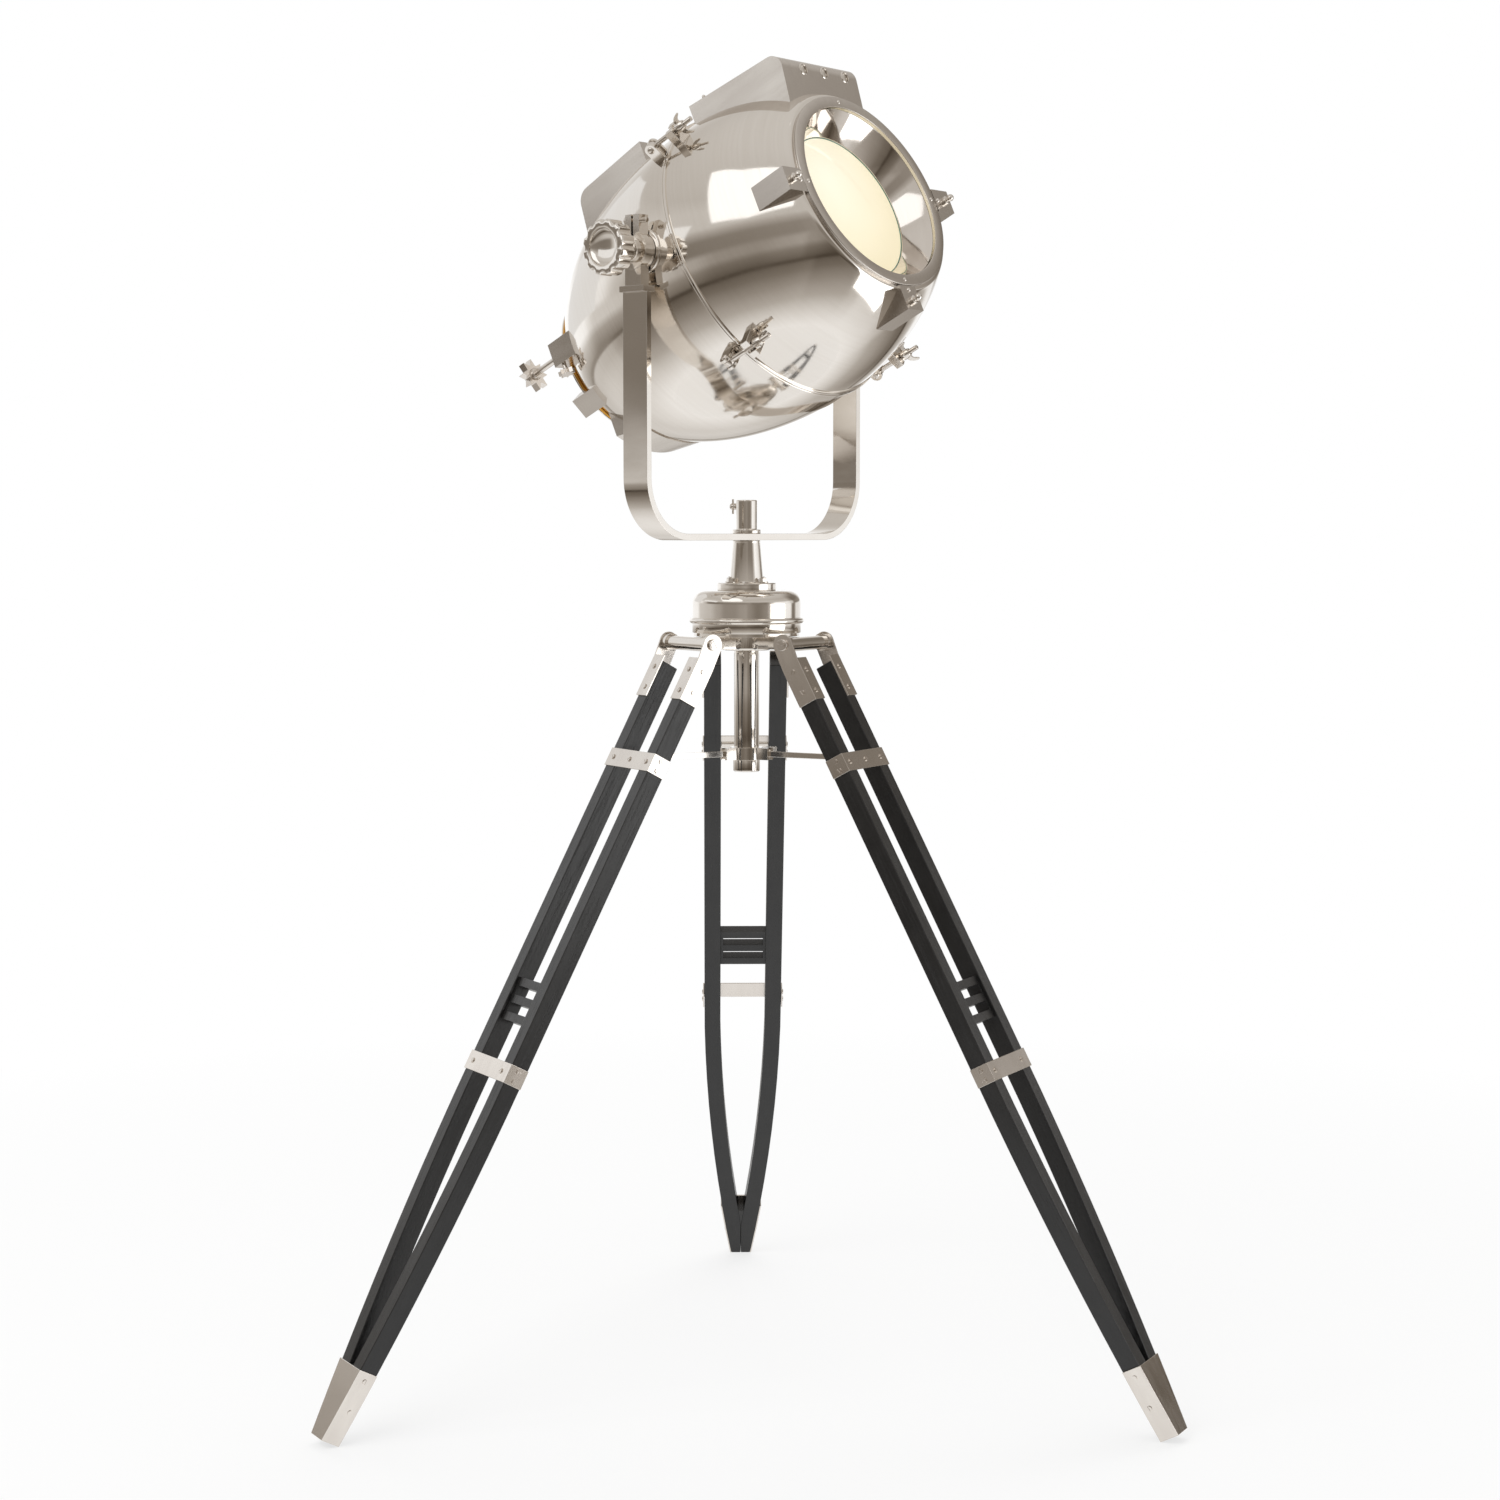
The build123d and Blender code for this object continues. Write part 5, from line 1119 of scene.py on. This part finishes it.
def buildFloor():
    s = floorSettings
    material, tree, skin, where = newMaterial("paleFloor")
    feed(tree, skin, {"Base Color": (*s["tone"], 1), "Roughness": s["rough"], "Specular IOR Level": s["shine"]})
    bright = addNode(tree, "ShaderNodeEmission", {"Strength": 1.0}).outputs["Emission"]
    reach = addNode(tree, "ShaderNodeVectorMath", {0: where}, operation="LENGTH").outputs["Value"]
    amount = addMath(tree, "MULTIPLY", backgroundRays(tree), spreadValue(tree, reach, *s["bright"], *s["fade"]))
    both = addNode(tree, "ShaderNodeMixShader", {"Fac": amount, 1: skin.outputs["BSDF"], 2: bright})
    output = [node for node in tree.nodes if node.type == "OUTPUT_MATERIAL"][0]
    feed(tree, output, {"Surface": both.outputs[0]})
    bm = bmesh.new()
    bmesh.ops.create_circle(bm, cap_ends=True, segments=96, radius=s["radius"])
    floor = showStage("floor", bm, material)


def buildWorld():
    world = bpy.data.worlds.new("studio")
    scene.world = world
    world.use_nodes = True
    tree = world.node_tree
    tree.nodes.clear()
    soft, white = (addNode(tree, "ShaderNodeBackground", {"Color": (1, 1, 1, 1), "Strength": strength}).outputs[0]
                   for strength in (studioSettings["world"], 1.0))
    both = addNode(tree, "ShaderNodeMixShader", {"Fac": backgroundRays(tree), 1: soft, 2: white})
    addNode(tree, "ShaderNodeOutputWorld", {"Surface": both.outputs[0]})


def addSoftbox(name, place, size, power, target):  # lights the piece but isn't mirrored by it
    light = bpy.data.lights.new(name, "AREA")
    light.shape = "RECTANGLE"
    light.size, light.size_y = size
    light.energy = power
    lamp = bpy.data.objects.new(name, light)
    lamp.location = place
    lamp.rotation_euler = (Vector(target) - Vector(place)).to_track_quat("-Z", "Y").to_euler()
    lamp.visible_glossy = False
    scene.collection.objects.link(lamp)


def showMirrored(name, bm):  # part of the studio that only the metal mirrors; its tones are on its corners
    material = bpy.data.materials.new(name)
    material.use_nodes = True
    tree = material.node_tree
    tree.nodes.clear()
    tone = addNode(tree, "ShaderNodeAttribute", attribute_name="tone").outputs["Color"]
    glow = addNode(tree, "ShaderNodeEmission", {"Color": tone, "Strength": 1.0}).outputs["Emission"]
    addNode(tree, "ShaderNodeOutputMaterial", {"Surface": glow})
    shown = showStage(name, bm, material)
    for ray in ("camera", "diffuse", "shadow", "transmission"):
        setattr(shown, "visible_" + ray, False)


def toneAt(azimuth, stops):
    for first, second in zip(stops, stops[1:]):
        if first[0] <= azimuth <= second[0]:
            share = (azimuth - first[0]) / (second[0] - first[0])
            return first[1] + (second[1] - first[1]) * share * share * (3 - 2 * share)
    return stops[-1][1]


def sightLine(azimuth, rise):  # azimuth 0 is towards the camera, and grows to the right
    turn, lift = math.radians(azimuth), math.radians(rise)
    return Vector((math.sin(turn) * math.cos(lift), -math.cos(turn) * math.cos(lift), math.sin(lift)))


roomSettings = {
    "tint": (1.0, 1.09, 1.2), "steps": 180,
    # Azimuth and tone of the walls: low down, at head height, and high up
    "low": ((-180, 1.1), (-128, 1.1), (-115, 0.72), (-86, 0.64), (-62, 0.46), (-46, 0.34), (-26, 0.34), (-12, 0.4),
            (-2, 0.42), (3, 0.34), (22, 0.24), (42, 0.32), (50, 0.6), (60, 1.25), (86, 1.1), (104, 1.05),
            (113, 0.2), (121, 0.3), (128, 0.9), (180, 1.1)),
    "mid": ((-180, 1.1), (-130, 1.1), (-112, 0.94), (-100, 0.62), (-88, 0.24), (-80, 0.22), (-40, 0.25),
            (-10, 0.28), (6, 0.32), (10, 0.24), (42, 0.24), (54, 0.6), (64, 1.15), (95, 1.0), (112, 0.7),
            (122, 0.25), (150, 0.3), (166, 0.9), (180, 1.1)),
    "high": ((-180, 0.9), (-150, 0.72), (-126, 0.68), (-98, 0.66), (-20, 0.6), (45, 0.62), (98, 0.56), (112, 0.34),
             (120, 0.2), (146, 0.22), (164, 0.7), (180, 0.9)),
    # Radius and height in metres, shares of the low, middle and high tones, and a tone of its own
    "levels": (
        (0.8, 0.012, 0, 0, 0, 1.0), (1.1, 0.012, 0, 0.1, 0, 0.76), (1.5, 0.012, 0, 0.3, 0, 0.42),
        (2.1, 0.012, 0, 0.5, 0, 0.2), (2.8, 0.012, 0, 0.55, 0, 0.06), (3.5, 0.012, 0, 0.6, 0, 0),
        (3.6, 0.04, 0, 0.3, 0, 0), (3.6, 0.12, 0, 0.3, 0, 0), (3.6, 0.2, 0.4, 0, 0, 0), (3.6, 0.6, 0.62, 0, 0, 0),
        (3.6, 0.84, 1, 0, 0, 0), (3.6, 1.12, 1, 0, 0, 0), (3.6, 1.32, 0, 1, 0, 0), (3.6, 1.75, 0, 1.05, 0, 0),
        (3.6, 2.05, 0, 0.4, 0.6, 0), (3.6, 2.2, 0, 0, 1, 0), (3.6, 2.9, 0, 0, 1, 0), (3.1, 3.2, 0, 0, 0.6, 0.18),
        (2.1, 3.3, 0, 0, 0, 0.6), (1.0, 3.3, 0, 0, 0, 0.66), (0.05, 3.3, 0, 0, 0, 0.68),
    ),
    # Tone and reach of each card, and the azimuth and rise of its corners
    "cards": {
        "mirroredKey": (1.35, 2.65, ((-78, 45), (-54, 15), (-34, 14), (-11, 17), (-10, 29), (-28, 51), (-54, 48))),
        "mirroredSide": (2.3, 1.98, ((50, -6), (86, -6), (88, -43), (69, -42), (48, -38))),
        "mirroredLeft": (0.95, 3.3, ((-106, 7), (-68, 7), (-66, 16), (-106, 16))),
        "mirroredBack": (0.86, 2.65, ((-150, -4), (-114, -4), (-114, 27), (-132, 32), (-150, 27))),
    },
}


def buildRoom():
    s = roomSettings
    bm = bmesh.new()
    tones = bm.verts.layers.float_color.new("tone")
    rings = []
    for radius, height, low, mid, high, own in s["levels"]:
        ring = []
        for step in range(s["steps"]):
            azimuth = step * 360 / s["steps"] - 180
            shares = (("low", low), ("mid", mid), ("high", high))
            tone = own + sum(toneAt(azimuth, s[level]) * share for level, share in shares)
            vert = bm.verts.new(sightLine(azimuth, 0) * radius + upward * height)
            vert[tones] = [tone ** power for power in s["tint"]] + [1.0]
            ring.append(vert)
        rings.append(ring)
    for inner, outer in zip(rings, rings[1:]):
        for step in range(s["steps"]):
            after = (step + 1) % s["steps"]
            bm.faces.new((inner[step], inner[after], outer[after], outer[step]))
    showMirrored("mirroredRoom", bm)


def buildCards():
    middle = upward * (pose["tiltHeight"] * mm)
    for name, (tone, reach, corners) in roomSettings["cards"].items():
        bm = bmesh.new()
        tones = bm.verts.layers.float_color.new("tone")
        card = [bm.verts.new(middle + sightLine(*corner) * reach) for corner in corners]
        for vert in card:
            vert[tones] = (tone, tone, tone, 1.0)
        bm.faces.new(card)
        bmesh.ops.triangulate(bm, faces=bm.faces)
        showMirrored(name, bm)


def buildCamera():
    s = cameraSettings
    turn, drop = math.radians(s["turn"]), math.radians(s["drop"])
    view = bpy.data.cameras.new("photoView")
    view.sensor_width = s["sensor"]
    view.lens = s["lens"]
    view.clip_end = s["reach"]
    camera = bpy.data.objects.new("photoView", view)
    camera.location = (sightLine(s["azimuth"], 0) * s["distance"] + upward * s["height"]) * mm
    look = Vector((-math.sin(turn) * math.cos(drop), math.cos(turn) * math.cos(drop), -math.sin(drop)))
    camera.rotation_euler = look.to_track_quat("-Z", "Y").to_euler()
    scene.collection.objects.link(camera)
    scene.camera = camera


buildFloor()
buildWorld()
for name, softbox in studioSettings["softboxes"].items():
    addSoftbox(name, **softbox)
buildRoom()
buildCards()
buildCamera()
bpy.context.view_layer.update()
print("studio done")
